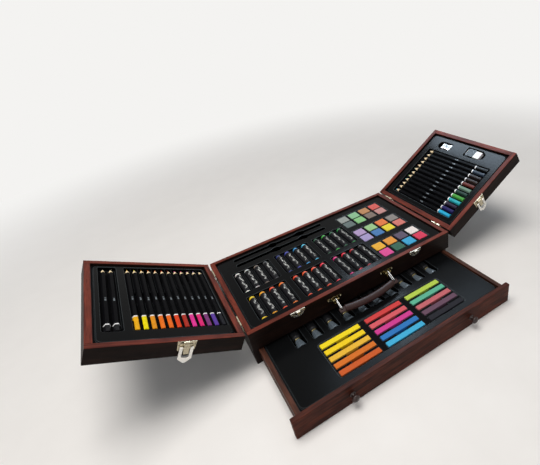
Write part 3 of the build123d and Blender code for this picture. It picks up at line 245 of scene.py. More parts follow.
def sized_pattern(tree, size, span, reach=(0.0, 1.0), turn=(0.0, 0.0, 0.0), **settings):
    """A noise pattern whose features have a real size in millimetres.

    Returns the noise, and the same with a span of it spread over a reach.
    """
    place = add_node(tree, "TexCoord").outputs["Object"]
    scale = [side * MM for side in size]
    fitted = add_node(tree, "Mapping", {"Vector": place, "Rotation": turn, "Scale": scale},
                      vector_type="TEXTURE")
    noise = add_node(tree, "TexNoise", {"Vector": fitted, "Scale": 1.0, **settings})
    spread = add_node(tree, "MapRange", {"Value": noise, "From Min": span[0], "From Max": span[1],
                                         "To Min": reach[0], "To Max": reach[1]})
    return noise, spread


def grained(name, tones, grain, roughness, relief, stretch=(1, 1, 1), uneven=0.08, **values):
    """A finish of two tones, or of a painted colour, with a noise grain of a real size.

    tones is a pair of colours, or None for the colour painted on the piece. The size of the
    grain and its relief are in millimetres.
    """
    made, tree, shader = start_material(name, **values)
    add = partial(add_node, tree)
    fac = sized_pattern(tree, [grain * s for s in stretch], (0.35, 0.65), Detail=5.0,
                        Roughness=0.6)[1]
    if tones:
        base = add("Mix", {0: fac, 6: tones[0], 7: tones[1]}, data_type="RGBA")
    else:
        paint = add("Attribute", attribute_name="paint")
        dusk, full = shades((1, 1, 1), 0.84, 1)
        shade = add("Mix", {0: fac, 6: dusk, 7: full}, data_type="RGBA")
        base = add("Mix", {0: 1.0, 6: paint, 7: shade}, data_type="RGBA", blend_type="MULTIPLY")
    gloss = add("MapRange", {"Value": fac, "To Min": max(roughness - uneven, 0.02),
                             "To Max": roughness + uneven})
    bump = add("Bump", {"Strength": 1.0, "Distance": relief * MM, "Height": fac})
    fill(tree, shader, {"Base Color": base, "Roughness": gloss, "Normal": bump})
    return made


def stained_wood(name, rim, face, up, turn):
    """Stained poplar under a thin matt lacquer: long soft grain, fine pores, tops painted lit and sides painted in
    shade.

    rim and face are (light, dark) tones: rim is the wood painted lit, for faces that look up,
    and face the same wood painted in shade, for the others. up is the way that the rims face and
    turn lays the grain along the piece.
    """
    made, tree, shader = start_material(name, level=0.08)
    add = partial(add_node, tree)
    # Growth rings are about 5 mm apart and run on for 70 mm
    rings = sized_pattern(tree, (70, 5, 5), (0.32, 0.68), turn=turn, Detail=6.0, Roughness=0.55,
                          Distortion=0.7)[1]
    # Pores are 0.2 mm wide, and are drawn 0.9 mm wide so that they show in the render
    pores = sized_pattern(tree, (14, 0.9, 0.9), (0.3, 0.55), (0.72, 1.0), turn, Detail=2.0)[1]
    # The stain takes unevenly, in clouds of about 45 by 16 mm
    stain = sized_pattern(tree, (45, 16, 16), (0.3, 0.6), (0.55, 1.1), turn, Detail=2.0)[1]
    lit_rim_tone = add("Mix", {0: rings, 6: rim[1], 7: rim[0]}, data_type="RGBA")
    shaded_face_tone = add("Mix", {0: rings, 6: face[1], 7: face[0]}, data_type="RGBA")
    # Faces that look up take the rim tone, painted lit, and the others the face tone, painted in shade
    normal = add("TexCoord").outputs["Normal"]
    facing = add("VectorMath", {0: normal, 1: up}, operation="DOT_PRODUCT")
    lit_top_share = add("MapRange", {"Value": facing, "From Min": 0.15, "From Max": 0.75})
    tone = add("Mix", {0: lit_top_share, 6: shaded_face_tone, 7: lit_rim_tone}, data_type="RGBA")
    shade = add("Math", {0: pores, 1: stain}, operation="MULTIPLY")
    base = add("Mix", {0: 1.0, 6: tone, 7: shade}, data_type="RGBA", blend_type="MULTIPLY")
    gloss = add("MapRange", {"Value": pores, "From Min": 0.72, "To Min": 0.6, "To Max": 0.46})
    bump = add("Bump", {"Distance": 0.06 * MM, "Height": pores})
    fill(tree, shader, {"Base Color": base, "Roughness": gloss, "Normal": bump})
    return made


def printed_paper(name, paper, mark):
    """Coated black paper of the sleeves, with broken pale marks beside its top that say nothing.

    U runs along the sleeve and V round it, with V 0.5 at its top.
    """
    made, tree, shader = start_material(name, level=0.06)
    add = partial(add_node, tree)
    unrolled = add("SeparateXYZ", {0: add("TexCoord").outputs["UV"]})
    along, around = unrolled.outputs["X"], unrolled.outputs["Y"]
    # Strokes of about 1.6 by 6 mm, as coarse as they need to be to show
    noise, strong = sized_pattern(tree, (1.6, 6, 5), (0.44, 0.52), Detail=3.0, Roughness=0.7)
    # The line of strokes swings from side to side about every 20 mm
    turns = add("Math", {0: along, 1: 20.0}, operation="MULTIPLY")
    uneven = add("Math", {0: noise, 1: 16.0, 2: turns}, operation="MULTIPLY_ADD")
    swing = add("Math", {0: uneven}, operation="SINE")
    line = add("Math", {0: swing, 1: 0.055, 2: 0.545}, operation="MULTIPLY_ADD")
    off_line = add("Math", {0: around, 1: line}, operation="SUBTRACT")
    aside = add("Math", {0: off_line}, operation="ABSOLUTE")
    ragged = add("Math", {0: noise, 1: -0.12, 2: 0.1}, operation="MULTIPLY_ADD")
    near_line = add("Math", {0: aside, 1: ragged}, operation="LESS_THAN")
    # Both ends of the sleeve stay bare
    off_middle = add("Math", {0: along, 1: 0.55}, operation="SUBTRACT")
    away = add("Math", {0: off_middle}, operation="ABSOLUTE")
    near_middle = add("MapRange", {"Value": away, "From Min": 0.38, "From Max": 0.42,
                                   "To Min": 1.0, "To Max": 0.0})
    where = add("Math", {0: near_line, 1: near_middle}, operation="MULTIPLY")
    marked = add("Math", {0: strong, 1: where}, operation="MULTIPLY")
    base = add("Mix", {0: marked, 6: paper, 7: mark}, data_type="RGBA")
    gloss = add("MapRange", {"Value": noise, "To Min": 0.34, "To Max": 0.5})
    fill(tree, shader, {"Base Color": base, "Roughness": gloss})
    return made


def wing_place(hand):
    """The hinge axis of a wing, with X along the raised wing and Z square to its rim."""
    side = HANDS[hand]
    joint = next(j for j in frame["joints"] if j["child"] == f"{hand}_wing")
    across = (cos(WING_RAISE), 0, side * sin(WING_RAISE))
    up = (-side * sin(WING_RAISE), 0, cos(WING_RAISE))
    place = Matrix((across, (0, 1, 0), up)).transposed().to_4x4()
    place.translation = Vector(joint["pos_m"])
    return place


def merged(node):
    """A copy of a node's mesh with its loose triangles joined."""
    mesh = bmesh.new()
    mesh.from_mesh(NODES[node].data)
    bmesh.ops.remove_doubles(mesh, verts=mesh.verts, dist=MERGE)
    return mesh


def solid_boxes(node, place=HERE):
    """Lowest and highest corners of a node's separate solids in a place's axes, back row first."""
    mesh = merged(node)
    mesh.transform(place.inverted())
    left, boxes = set(mesh.verts), []
    while left:
        waiting, found = [left.pop()], []
        while waiting:
            vert = waiting.pop()
            found.append(vert.co.copy())
            near = {edge.other_vert(vert) for edge in vert.link_edges} & left
            left -= near
            waiting.extend(near)
        ends = [Vector(pick(co[i] for co in found) for i in range(3)) for pick in (min, max)]
        boxes.append(ends)
    mesh.free()
    return sorted(boxes, key=lambda box: (-round(box[0].y, 4), round(box[0].x, 4)))


def spot_in(box, shares=MIDDLE):
    """A point of a box, at a share of each of its sides."""
    return Vector(low + (high - low) * share for low, high, share in zip(*box, shares))


def lying_size(boxes):
    """Length along Y and radius of like round solids."""
    size = boxes[0][1] - boxes[0][0]
    return size.y, size.z / 2


def round_off(mesh, geom, width, segments, affect="EDGES"):
    """Round edges or corners."""
    bmesh.ops.bevel(mesh, geom=geom, offset=width, segments=segments, profile=0.5, affect=affect,
                    material=-1)


def lift(mesh, faces, move):
    """Extrude faces, move them and return their corners."""
    made = bmesh.ops.extrude_face_region(mesh, geom=faces)["geom"]
    corners = [item for item in made if isinstance(item, bmesh.types.BMVert)]
    bmesh.ops.translate(mesh, verts=corners, vec=move)
    return corners


def raise_cap(mesh, cap, height, wide=1.0, deep=None, slot=0):
    """Extrude a cap, spread it along X and Y about its middle, and return it.

    Where deep is left out, the cap spreads evenly.
    """
    known = set(mesh.faces)
    top = lift(mesh, [cap], (0, 0, height))
    middle = sum((vert.co for vert in top), Vector()) / len(top)
    bmesh.ops.scale(mesh, verts=top, vec=(wide, deep or wide, 1), space=at(-middle))
    new = set(mesh.faces) - known
    for face in new:
        face.material_index = slot
    corners = set(top)
    return next(face for face in new if corners.issuperset(face.verts))


def stack(mesh, cap, steps, slot=0):
    """Raise a cap in steps of (height, wide, deep), and return it."""
    for step in steps:
        cap = raise_cap(mesh, cap, *step, slot=slot)
    return cap


def disc(radius, segments):
    """A new mesh of one flat disc."""
    mesh = bmesh.new()
    bmesh.ops.create_circle(mesh, segments=segments, radius=radius, cap_ends=True)
    return mesh


def plate(width, depth, corner, segments):
    """A new mesh of one flat plate with rounded corners."""
    mesh = bmesh.new()
    bmesh.ops.create_grid(mesh, x_segments=1, y_segments=1, size=0.5)
    bmesh.ops.scale(mesh, verts=mesh.verts, vec=(width, depth, 1))
    round_off(mesh, mesh.verts, corner, segments, "VERTICES")
    return mesh


def turned(profile, steps=24):
    """Turn a profile of (height, radius) points round the Z axis into a closed mesh."""
    mesh = bmesh.new()
    verts = [mesh.verts.new((radius, 0, height)) for height, radius in profile]
    for pair in zip(verts, verts[1:]):
        mesh.edges.new(pair)
    bmesh.ops.spin(mesh, geom=mesh.verts[:] + mesh.edges[:], cent=(0, 0, 0), axis=(0, 0, 1),
                   angle=2 * pi, steps=steps, use_merge=True)
    bmesh.ops.remove_doubles(mesh, verts=mesh.verts, dist=MERGE)
    bmesh.ops.recalc_face_normals(mesh, faces=mesh.faces)
    return mesh


def dome(start, rise, radius, count, tip=0.0):
    """Profile points of a rounded end from a radius to its tip."""
    steps = [pi / 2 * i / count for i in range(count + 1)]
    return [(start + rise * sin(a), tip + (radius - tip) * cos(a)) for a in steps]


def softened(node, width, segments=2, least_turn=35):
    """A merged copy of a node's mesh with its sharp edges rounded."""
    mesh = merged(node)
    bmesh.ops.dissolve_limit(mesh, angle_limit=radians(1), verts=mesh.verts, edges=mesh.edges)
    sharp = [e for e in mesh.edges if e.is_manifold and e.calc_face_angle() > radians(least_turn)]
    round_off(mesh, sharp, width, segments)
    return mesh


class Gathered:
    """Like pieces gathered in one mesh, each with its own painted colour."""

    def __init__(self):
        self.mesh = bmesh.new()
        self.paint = self.mesh.loops.layers.float_color.new("paint")

    def add(self, unit, place, code=None, keep=False):
        """Add a unit mesh at a place, painted in one colour, and free it unless it is kept."""
        data = bpy.data.meshes.new("unit")
        unit.to_mesh(data)
        if not keep:
            unit.free()
        known, corners = len(self.mesh.faces), len(self.mesh.verts)
        self.mesh.from_mesh(data)
        bpy.data.meshes.remove(data)
        self.mesh.faces.ensure_lookup_table()
        self.mesh.verts.ensure_lookup_table()
        bmesh.ops.transform(self.mesh, matrix=place, verts=self.mesh.verts[corners:])
        if code:
            tone = linear(code)
            for face in self.mesh.faces[known:]:
                for loop in face.loops:
                    loop[self.paint] = tone

    def lay(self, unit, boxes, spot, turn=HERE, codes=None):
        """Lay a copy of a unit at the same spot of each box, and return the mesh of all."""
        for box, code in zip(boxes, codes or [None] * len(boxes)):
            self.add(unit, at(spot_in(box, spot)) @ turn, code, keep=True)
        unit.free()
        return self.mesh


def put(name, data):
    """Put a new object in the scene."""
    made = bpy.data.objects.new(name, data)
    bpy.context.scene.collection.objects.link(made)
    return made


def add_piece(name, mesh, materials, nodes, sharp=35):
    """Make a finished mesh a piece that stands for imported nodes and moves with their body."""
    data = bpy.data.meshes.new(name)
    mesh.to_mesh(data)
    mesh.free()
    for material in materials:
        data.materials.append(material)
    data.shade_smooth()
    data.set_sharp_from_angle(angle=radians(sharp))
    piece = put(name, data)
    # Large flat faces keep their own direction beside rounded edges
    level = piece.modifiers.new("level_faces", "WEIGHTED_NORMAL")
    level.mode = "FACE_AREA"
    level.keep_sharp = True
    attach(piece, BODY_OF[nodes[0]])
    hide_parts(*nodes)


def finish_node(node, material):
    """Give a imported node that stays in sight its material."""
    for slot in NODES[node].material_slots:
        slot.material = material


class ARTBOX_OT_wood(bpy.types.Operator):
    """Stain the case, the wings and the drawer."""

    bl_idname = "artbox.wood"
    bl_label = "Wood"

    def execute(self, context):
        tones = context.scene.art_box_colours
        # The rims take the wood painted lit, and the outer faces the same wood painted in shade
        rim = (tones.lit_rim_light, tones.lit_rim_dark)
        face = (tones.shaded_face_light, tones.shaded_face_dark)
        front = (tones.drawer_light, tones.drawer_dark)
        inside = (tones.inside_light, tones.inside_dark)
        along_x, along_y, upright = (0, 0, 0), (0, 0, pi / 2), (0, 0, 1)
        # Solid poplar shows long grain, and so does the poplar face of the thin plywood
        woods = [
            ("poplar_crosswise", rim, face, upright, along_x, ("back_panel", "front_rail")),
            ("poplar_lengthwise", rim, face, upright, along_y,
             ("left_side_panel", "right_side_panel")),
            ("poplar_drawer_front", front, front, upright, along_x, ("drawer_front",)),
            ("poplar_drawer_crosswise", inside, inside, upright, along_x,
             ("drawer_back", "drawer_bottom", "drawer_stops")),
            ("poplar_drawer_lengthwise", inside, inside, upright, along_y,
             ("drawer_sides", "drawer_runners")),
            ("plywood_sheet", face, face, upright, along_x, ("bottom_panel", "deck_panel")),
        ]
        for hand, side in HANDS.items():
            up = (-side * sin(WING_RAISE), 0, cos(WING_RAISE))
            lean = (0, -side * WING_RAISE, 0)
            woods += [
                (f"poplar_{hand}_end_rails", rim, face, up, lean, (f"{hand}_wing_end_rails",)),
                (f"poplar_{hand}_side_rails", rim, face, up, along_y,
                 (f"{hand}_wing_side_rails",)),
                (f"plywood_{hand}_panel", face, face, up, lean, (f"{hand}_wing_panel",)),
            ]
        for name, rims, faces, up, turn, nodes in woods:
            wood = stained_wood(f"stained_{name}", rims, faces, up, turn)
            for node in nodes:
                finish_node(node, wood)
        return {"FINISHED"}


def add_ridge(tray, low, high, top, sizes):
    """Add a rounded ridge that follows a rounded rectangle on a tray."""
    sunk = 0.2 * MM
    ring = plate(high[0] - low[0], high[1] - low[1], sizes.ridge_corner, 6)
    inner = ring.faces[:]
    bmesh.ops.inset_region(ring, faces=inner, thickness=sizes.ridge_width, use_even_offset=True)
    bmesh.ops.delete(ring, geom=inner, context="FACES_ONLY")
    crest = set(lift(ring, ring.faces[:], (0, 0, sizes.ridge_height + sunk)))
    rims = [e for e in ring.edges
            if crest.issuperset(e.verts) and e.calc_face_angle(0) > radians(60)]
    round_off(ring, rims, sizes.ridge_width * 0.42, 3)
    bmesh.ops.recalc_face_normals(ring, faces=ring.faces)
    middle = ((low[0] + high[0]) / 2, (low[1] + high[1]) / 2, top - sunk)
    tray.add(ring, at(middle))


class ARTBOX_OT_trays(bpy.types.Operator):
    """Mould the four black trays."""

    bl_idname = "artbox.trays"
    bl_label = "Trays"

    def execute(self, context):
        tones, sizes = context.scene.art_box_colours, context.scene.art_box_sizes
        # Thermoformed polystyrene sheet: satin black, with the faint orange peel of the mould
        sheet = grained("thermoformed_polystyrene", shades(tones.tray, 1, 1.25), 1.6, 0.2, 0.01,
                        uneven=0.03, level=0.035)
        # The same sheet where it is drawn down thin into the pockets: matt, and a darker black as painted shade
        pocket = grained("shaded_polystyrene_pockets", shades(tones.pocket, 1, 1.5), 1.6, 0.7, 0.01,
                         level=0.03)
        # And where it bends over an edge or a ridge: a paler grey, a painted glint, so that it shows as a pale
        # line
        crest = grained("glint_painted_polystyrene_crest", shades(tones.crest, 1, 0.6), 6, 0.35, 0.01,
                        level=0.12)
        for node in ("top_tray", "drawer_tray", "left_wing_tray", "right_wing_tray"):
            whole = Gathered()
            whole.add(softened(node, sizes.tray_round), HERE)
            hand = node.split("_")[0]
            place = wing_place(hand) if hand in HANDS else HERE
            level = place.inverted()
            plateau = solid_boxes(node, place)[0][1].z
            if node == "drawer_tray":
                sticks = solid_boxes("soft_pastels")
                out = Vector((sizes.ridge_outset, sizes.ridge_outset, 0))
                low = Vector(map(min, *(box[0] for box in sticks))) - out
                high = Vector(map(max, *(box[1] for box in sticks))) + out
                add_ridge(whole, low, high, plateau, sizes)
            floor = plateau - sizes.tray_round - 0.1 * MM
            ridge = plateau + sizes.ridge_height * 0.7
            for face in whole.mesh.faces:
                height = (level @ face.calc_center_median()).z
                # Bends face neither straight up, as the floors do, nor aside, as the walls do
                bent = 0.1 < (level.to_3x3() @ face.normal).z < 0.98
                # Bends and the ridge's top take the painted glint, and faces below the floor the painted shade
                face.material_index = 2 if bent or height > ridge else int(height < floor)
            add_piece(f"moulded_{node}", whole.mesh, [sheet, pocket, crest], [node], sharp=50)
        return {"FINISHED"}


def pencil_unit(reach, radius, cone, dip, band, marks):
    """A hexagonal pencil along Z, blunt end down: lacquer, band, cone with scallops, and core.

    marks are the (start, end) pairs of the worn foil on the flat that lies up.
    Slots: 0 lacquer, 1 coloured end, 2 foil band, 3 cedar, 4 core, 5 worn foil.
    """
    worn_corners, blunt, collar, core = 0.975, 0.9, 0.55, 0.32
    mesh = disc(radius, 6)
    bmesh.ops.rotate(mesh, verts=mesh.verts, matrix=Matrix.Rotation(pi / 6, 3, "Z"))
    bmesh.ops.subdivide_edges(mesh, edges=mesh.edges[:], cuts=3)
    for vert in mesh.verts:
        vert.co *= min(1.0, worn_corners * radius / vert.co.length)
    [cap] = mesh.faces
    cap.material_index = 1
    bmesh.ops.scale(mesh, verts=cap.verts, vec=(blunt, blunt, 1))
    cap = raise_cap(mesh, cap, 0.6 * MM, 1 / blunt, slot=1)
    level = 0.6 * MM
    heights = [(dip, 1), (dip + band, 2), *((height, 0) for mark in marks for height in mark),
               (reach - cone * 0.9, 0)]
    for height, slot in heights:
        cap = raise_cap(mesh, cap, height - level, slot=slot)
        level = height
    # The cone meets the six flats in scallops
    slope = radius / cone
    for vert in cap.verts:
        vert.co.z = reach - vert.co.xy.length / slope
    middle, tip = reach - radius * collar / slope, reach - radius * core / slope
    cap = raise_cap(mesh, cap, 0, slot=3)
    for vert in cap.verts:
        vert.co = (*(vert.co.xy.normalized() * radius * collar), middle)
    cap = raise_cap(mesh, cap, tip - middle, core / collar, slot=3)
    stack(mesh, cap, ((reach - 0.8 * MM - tip, 0.3), (0.6 * MM, 0.3)), slot=4)
    for face in mesh.faces:
        centre = face.calc_center_median()
        if centre.y < -radius * 0.8 and abs(centre.x) < radius * 0.3:
            if any(start < centre.z < end for start, end in marks):
                face.material_index = 5
    bmesh.ops.recalc_face_normals(mesh, faces=mesh.faces)
    return mesh


class ARTBOX_OT_pencils(bpy.types.Operator):
    """Lay the coloured and the graphite pencils in the wings."""

    bl_idname = "artbox.pencils"
    bl_label = "Pencils"

    def execute(self, context):
        tones, sizes = context.scene.art_box_colours, context.scene.art_box_sizes
        # Nitrocellulose lacquer over wood: a thin satin film that follows faint unevenness
        black = grained("satin_black_lacquer", shades(tones.lacquer, 1, 1.6), 6, 0.36, 0.01,
                        level=0.015)
        # A second coat over the end, dipped: even and full in colour
        dipped = grained("dipped_end_lacquer", None, 4, 0.34, 0.01, level=0.06)
        # Foil pressed on hot: a pale, flat sheen
        foil = grained("hot_stamped_foil", shades(tones.foil, 1, 0.85), 2, 0.4, 0.01)
        # The same foil rubbed through to the lacquer: grey and broken
        worn = grained("rubbed_foil", (tones.lacquer, tones.worn_foil), 1.8, 0.45, 0.01)
        # Incense cedar, cut by the sharpener: pale, matt, with fine straight grain
        cedar = grained("incense_cedar", (tones.cedar_dark, tones.cedar_light), 0.6, 0.62, 0.03,
                        stretch=(1, 14, 1))
        # Pigment bound with wax: its full colour, slightly waxy
        core = grained("pigment_core", None, 1, 0.5, 0.03)
        # Graphite cut to a point: dark grey, with a faint gleam of metal
        lead = grained("polished_graphite", shades(tones.graphite, 1, 1.5), 1, 0.35, 0.02,
                       metallic=0.4)
        sets = (
            ("left_coloured_pencils", "left", LEFT_PENCILS, core, 1.0),
            ("right_coloured_pencils", "right", RIGHT_PENCILS, core, 1.0),
            ("graphite_pencils", "left", ("#131316",) * 2, lead, 0.45),
        )
        for node, hand, codes, point, dipped_share in sets:
            place = wing_place(hand)
            boxes = sorted(solid_boxes(node, place), key=lambda box: abs(box[0].x))
            row = Gathered()
            for i, (box, code) in enumerate(zip(boxes, codes)):
                low, high = box
                start = MARKS_AT[hand] - low.y + i % 3 * MM
                end = start + sizes.mark_length
                marks = ((start, end), (end + (1 + i % 2) * MM, end + (3 + i % 2) * MM))
                unit = pencil_unit(high.y - low.y, (high.x - low.x) / 2, 18 * MM,
                                   sizes.dip_length * dipped_share, sizes.band_length, marks)
                row.add(unit, place @ at(spot_in(box, FRONT_END)) @ TO_BACK, code)
            add_piece(f"painted_{node}", row.mesh, [black, dipped, foil, cedar, point, worn],
                      [node])
        return {"FINISHED"}


def unroll(mesh, reach):
    """Lay a turned mesh out: U along its height and V round it, with V 0.5 on its -Y side."""
    layer = mesh.loops.layers.uv.new("unrolled")
    for face in mesh.faces:
        for loop in face.loops:
            co = loop.vert.co
            loop[layer].uv = (co.z / reach, atan2(co.x, -co.y) / (2 * pi) + 0.5)


class ARTBOX_OT_oil_pastels(bpy.types.Operator):
    """Lay the oil pastels and their paper sleeves in the top tray."""

    bl_idname = "artbox.oil_pastels"
    bl_label = "Oil pastels"

    def execute(self, context):
        tones = context.scene.art_box_colours
        # Wax and oil: soft sheen, smeared and slightly pitted by handling
        wax = grained("wax_oil_pastel", None, 2.2, 0.42, 0.08, ior=1.45, subsurface_weight=0.08,
                      subsurface_scale=0.002)
        paper = printed_paper("coated_black_paper", tones.sleeve, tones.sleeve_mark)
        boxes = solid_boxes("oil_pastels")
        reach, radius = lying_size(boxes)
        chamfer, nose = 0.9 * MM, 3 * MM
        foot = dome(0, chamfer, radius, 3, radius * 0.75)
        profile = [(0, 0), *((chamfer - height, out) for height, out in reversed(foot)),
                   *dome(reach - nose, nose, radius, 6, radius * 0.25), (reach, 0)]
        sticks = Gathered().lay(turned(profile), boxes, FRONT_END, TO_BACK, OIL_PASTELS)
        add_piece("waxed_oil_pastels", sticks, [wax], ["oil_pastels"])
        boxes = solid_boxes("pastel_sleeves")
        reach, outer = lying_size(boxes)
        inner, step = radius + 0.05 * MM, 0.12 * MM
        sleeve = turned([(0, inner), (0, outer - step), (step, outer), (reach - step, outer),
                         (reach, outer - step), (reach, inner), (0, inner)], 32)
        unroll(sleeve, reach)
        sleeves = Gathered().lay(sleeve, boxes, FRONT_END, TO_BACK)
        add_piece("rolled_pastel_sleeves", sleeves, [paper], ["pastel_sleeves"])
        return {"FINISHED"}


class ARTBOX_OT_cakes(bpy.types.Operator):
    """Press the watercolour cakes."""

    bl_idname = "artbox.cakes"
    bl_label = "Watercolour cakes"

    def execute(self, context):
        # Pressed pigment and gum: flat, powdery, with a fine grain
        pigment = grained("pressed_watercolour", None, 0.9, 0.72, 0.06, level=0.3)
        boxes = solid_boxes("watercolour_cakes")
        size = boxes[0][1] - boxes[0][0]
        unit = plate(size.x, size.y, 1.5 * MM, 4)
        top = set(lift(unit, unit.faces[:], (0, 0, size.z)))
        round_off(unit, [e for e in unit.edges if top.issuperset(e.verts)], 0.5 * MM, 2)
        bmesh.ops.recalc_face_normals(unit, faces=unit.faces)
        face = max(unit.faces, key=lambda face: face.calc_center_median().z)
        bmesh.ops.inset_region(unit, faces=[face], thickness=1.4 * MM, depth=-0.35 * MM)
        cakes = Gathered().lay(unit, boxes, FOOT, codes=CAKES)
        add_piece("pressed_watercolour_cakes", cakes, [pigment], ["watercolour_cakes"])
        return {"FINISHED"}


class ARTBOX_OT_soft_pastels(bpy.types.Operator):
    """Lay the soft pastels in the drawer."""

    bl_idname = "artbox.soft_pastels"
    bl_label = "Soft pastels"

    def execute(self, context):
        # Pressed chalk: dry, matt, with powdery pits
        chalk = grained("pressed_chalk_pastel", None, 1.2, 0.85, 0.1, level=0.2)
        sticks = Gathered()
        for box, code in zip(solid_boxes("soft_pastels"), SOFT_PASTELS):
            stick = bmesh.new()
            bmesh.ops.create_cube(stick, size=1.0)
            bmesh.ops.scale(stick, verts=stick.verts, vec=box[1] - box[0])
            round_off(stick, stick.edges[:], 0.9 * MM, 2)
            sticks.add(stick, at(spot_in(box)), code)
        add_piece("pressed_soft_pastels", sticks.mesh, [chalk], ["soft_pastels"])
        return {"FINISHED"}


def tube_unit(reach, radius, wide):
    """A paint tube along Z, shoulder down: round at the shoulder and folded flat at the end.

    wide is how much wider than its shoulder the fold is. Slots: 0 print, 1 bare foil.
    """
    mesh = disc(radius * 0.76, 32)
    [cap] = mesh.faces
    straight = reach * 0.25
    cap = stack(mesh, cap, ((2.4 * MM, 1.26), (0.9 * MM, 1.044), (straight,)))
    steps, narrows = 8, 0.915
    step = (reach - 5 * MM - (3.3 * MM + straight)) / steps
    before = (1.0, 1.0)
    for i in range(1, steps + 1):
        part = i / steps
        now = (1 + (wide - 1) * part, 1 - narrows * part ** 1.15)
        cap = raise_cap(mesh, cap, step, now[0] / before[0], now[1] / before[1])
        before = now
    fold = ((0.05 * MM, 1, 1.4), (2.3 * MM, 1), (0.05 * MM, 1, 0.75), (2.6 * MM, 1))
    stack(mesh, cap, fold, slot=1)
    bmesh.ops.recalc_face_normals(mesh, faces=mesh.faces)
    return mesh


def cap_unit(reach, mouth):
    """A flared, fluted cap along Z with its hollow mouth up."""
    narrow, foot, fluted = 0.56, 1.1, 0.97
    mesh = disc(mouth * narrow, 48)
    [cap] = mesh.faces
    cap = stack(mesh, cap, ((0.6 * MM, foot), (reach - 3.6 * MM, fluted / (narrow * foot))))
    ribs = sorted(cap.verts, key=lambda vert: atan2(vert.co.y, vert.co.x))
    groove = [vert for i, vert in enumerate(ribs) if i % 4 in (0, 1)]
    below = [edge.other_vert(vert) for vert in groove for edge in vert.link_edges
             if abs(edge.other_vert(vert).co.z - vert.co.z) > 1 * MM]
    bmesh.ops.scale(mesh, verts=groove + below, vec=(0.93, 0.93, 1))
    cap = raise_cap(mesh, cap, 0.5 * MM, 1.02)
    for vert in cap.verts:
        vert.co.xy = vert.co.xy.normalized() * mouth
    stack(mesh, cap, ((2.0 * MM,), (0.4 * MM, 0.95), (0, 0.86), (-4 * MM, 0.9)))
    bmesh.ops.recalc_face_normals(mesh, faces=mesh.faces)
    return mesh


class ARTBOX_OT_tubes(bpy.types.Operator):
    """Lay the paint tubes in the drawer."""

    bl_idname = "artbox.tubes"
    bl_label = "Paint tubes"

    def execute(self, context):
        tones = context.scene.art_box_colours
        # Enamel print over soft aluminium, dented by filling, and the bare metal of the folds
        printed = grained("printed_tube_enamel", shades(tones.tube_print, 1, 1.4), 5, 0.35, 0.12,
                          level=0.15)
        foil = grained("soft_aluminium_foil", shades(tones.foil_tube, 1, 0.75), 5, 0.32, 0.12,
                       metallic=1.0)
        # Brass plate on a turned collar: small yellow glints
        gilt = grained("brass_plated_collar", shades(tones.brass, 1, 0.7), 2, 0.25, 0.01,
                       metallic=1.0)
        # Moulded polypropylene: dark, with a sheen on its flutes, and its grey lifted paler as a painted highlight
        black = grained("moulded_polypropylene", shades(tones.cap, 1, 1.5), 1.5, 0.3, 0.02,
                        ior=1.49)
        boxes = solid_boxes("tube_bodies")
        reach, radius = lying_size(boxes)
        unit = tube_unit(reach, radius, (boxes[0][1].x - boxes[0][0].x) / 2 / radius)
        bodies = Gathered().lay(unit, boxes, FRONT_END, TO_BACK)
        add_piece("folded_tube_bodies", bodies, [printed, foil], ["tube_bodies"])
        boxes = solid_boxes("tube_collars")
        reach, radius = lying_size(boxes)
        shape = ((0, 0), (0, 0.9), (0.3, 1), (0.8, 1), (1, 0.94), (1, 0))
        unit = turned([(along * reach, out * radius) for along, out in shape], 32)
        collars = Gathered().lay(unit, boxes, FRONT_END, TO_BACK)
        add_piece("gilt_tube_collars", collars, [gilt], ["tube_collars"])
        boxes = solid_boxes("tube_caps")
        caps = Gathered().lay(cap_unit(*lying_size(boxes)), boxes, BACK_END, TO_FRONT)
        add_piece("fluted_tube_caps", caps, [black], ["tube_caps"])
        return {"FINISHED"}


class ARTBOX_OT_brushes(bpy.types.Operator):
    """Turn the two brushes."""

    bl_idname = "artbox.brushes"
    bl_label = "Brushes"

    def execute(self, context):
        tones = context.scene.art_box_colours
        # Lacquer sprayed on turned beech: black, with a soft highlight along it
        lacquer = grained("brush_handle_lacquer", shades(tones.lacquer, 1, 2), 5, 0.3, 0.01,
                          level=0.15)
        # Nickel on a drawn tube, with fine lines along it, partly painted pale as a painted glint that shows in
        # the slot's shade
        nickel = grained("glint_painted_nickel_ferrule", (tones.polish_and_painted_sheen, tones.steel), 1, 0.2, 0.005,
                         stretch=(8, 1, 1), uneven=0.03, metallic=0.4)
        # Pony hair: brown strands that run to the tip
        hair = grained("pony_hair", (linear("#2A1B12"), linear("#6B4A30")), 0.35, 0.6, 0.08,
                       stretch=(16, 1, 1), ior=1.55)
        # Profiles as shares of the length and the radius
        parts = (
            ("handles", lacquer,
             ((0, 0), (0, 0.3), (0.008, 0.5), (0.3, 0.72), (0.62, 0.97), (0.75, 1.0),
              (0.88, 0.96), (1, 0.76), (1, 0))),
            ("ferrules", nickel,
             ((0, 0), (0, 0.97), (0.06, 1.0), (0.2, 1.0), (0.215, 0.9), (0.235, 0.9),
              (0.25, 1.0), (0.33, 1.0), (0.345, 0.9), (0.365, 0.9), (0.38, 0.99), (1, 0.76),
              (1, 0))),
            ("tufts", hair,
             ((0, 0), (0, 0.8), (0.2, 0.98), (0.42, 1.0), (0.75, 0.66), (0.93, 0.3), (1, 0))),
        )
        handle, ferrule = (solid_boxes(f"brush_{part}")[0] for part in ("handles", "ferrules"))
        backwards = ferrule[0].x < handle[0].x
        end, turn = (RIGHT_END, -pi / 2) if backwards else (LEFT_END, pi / 2)
        for part, material, shape in parts:
            boxes = solid_boxes(f"brush_{part}")
            size = boxes[0][1] - boxes[0][0]
            unit = turned([(along * size.x, out * size.z / 2) for along, out in shape])
            pair = Gathered().lay(unit, boxes, end, Matrix.Rotation(turn, 4, "Y"))
            add_piece(f"turned_brush_{part}", pair, [material], [f"brush_{part}"])
        return {"FINISHED"}


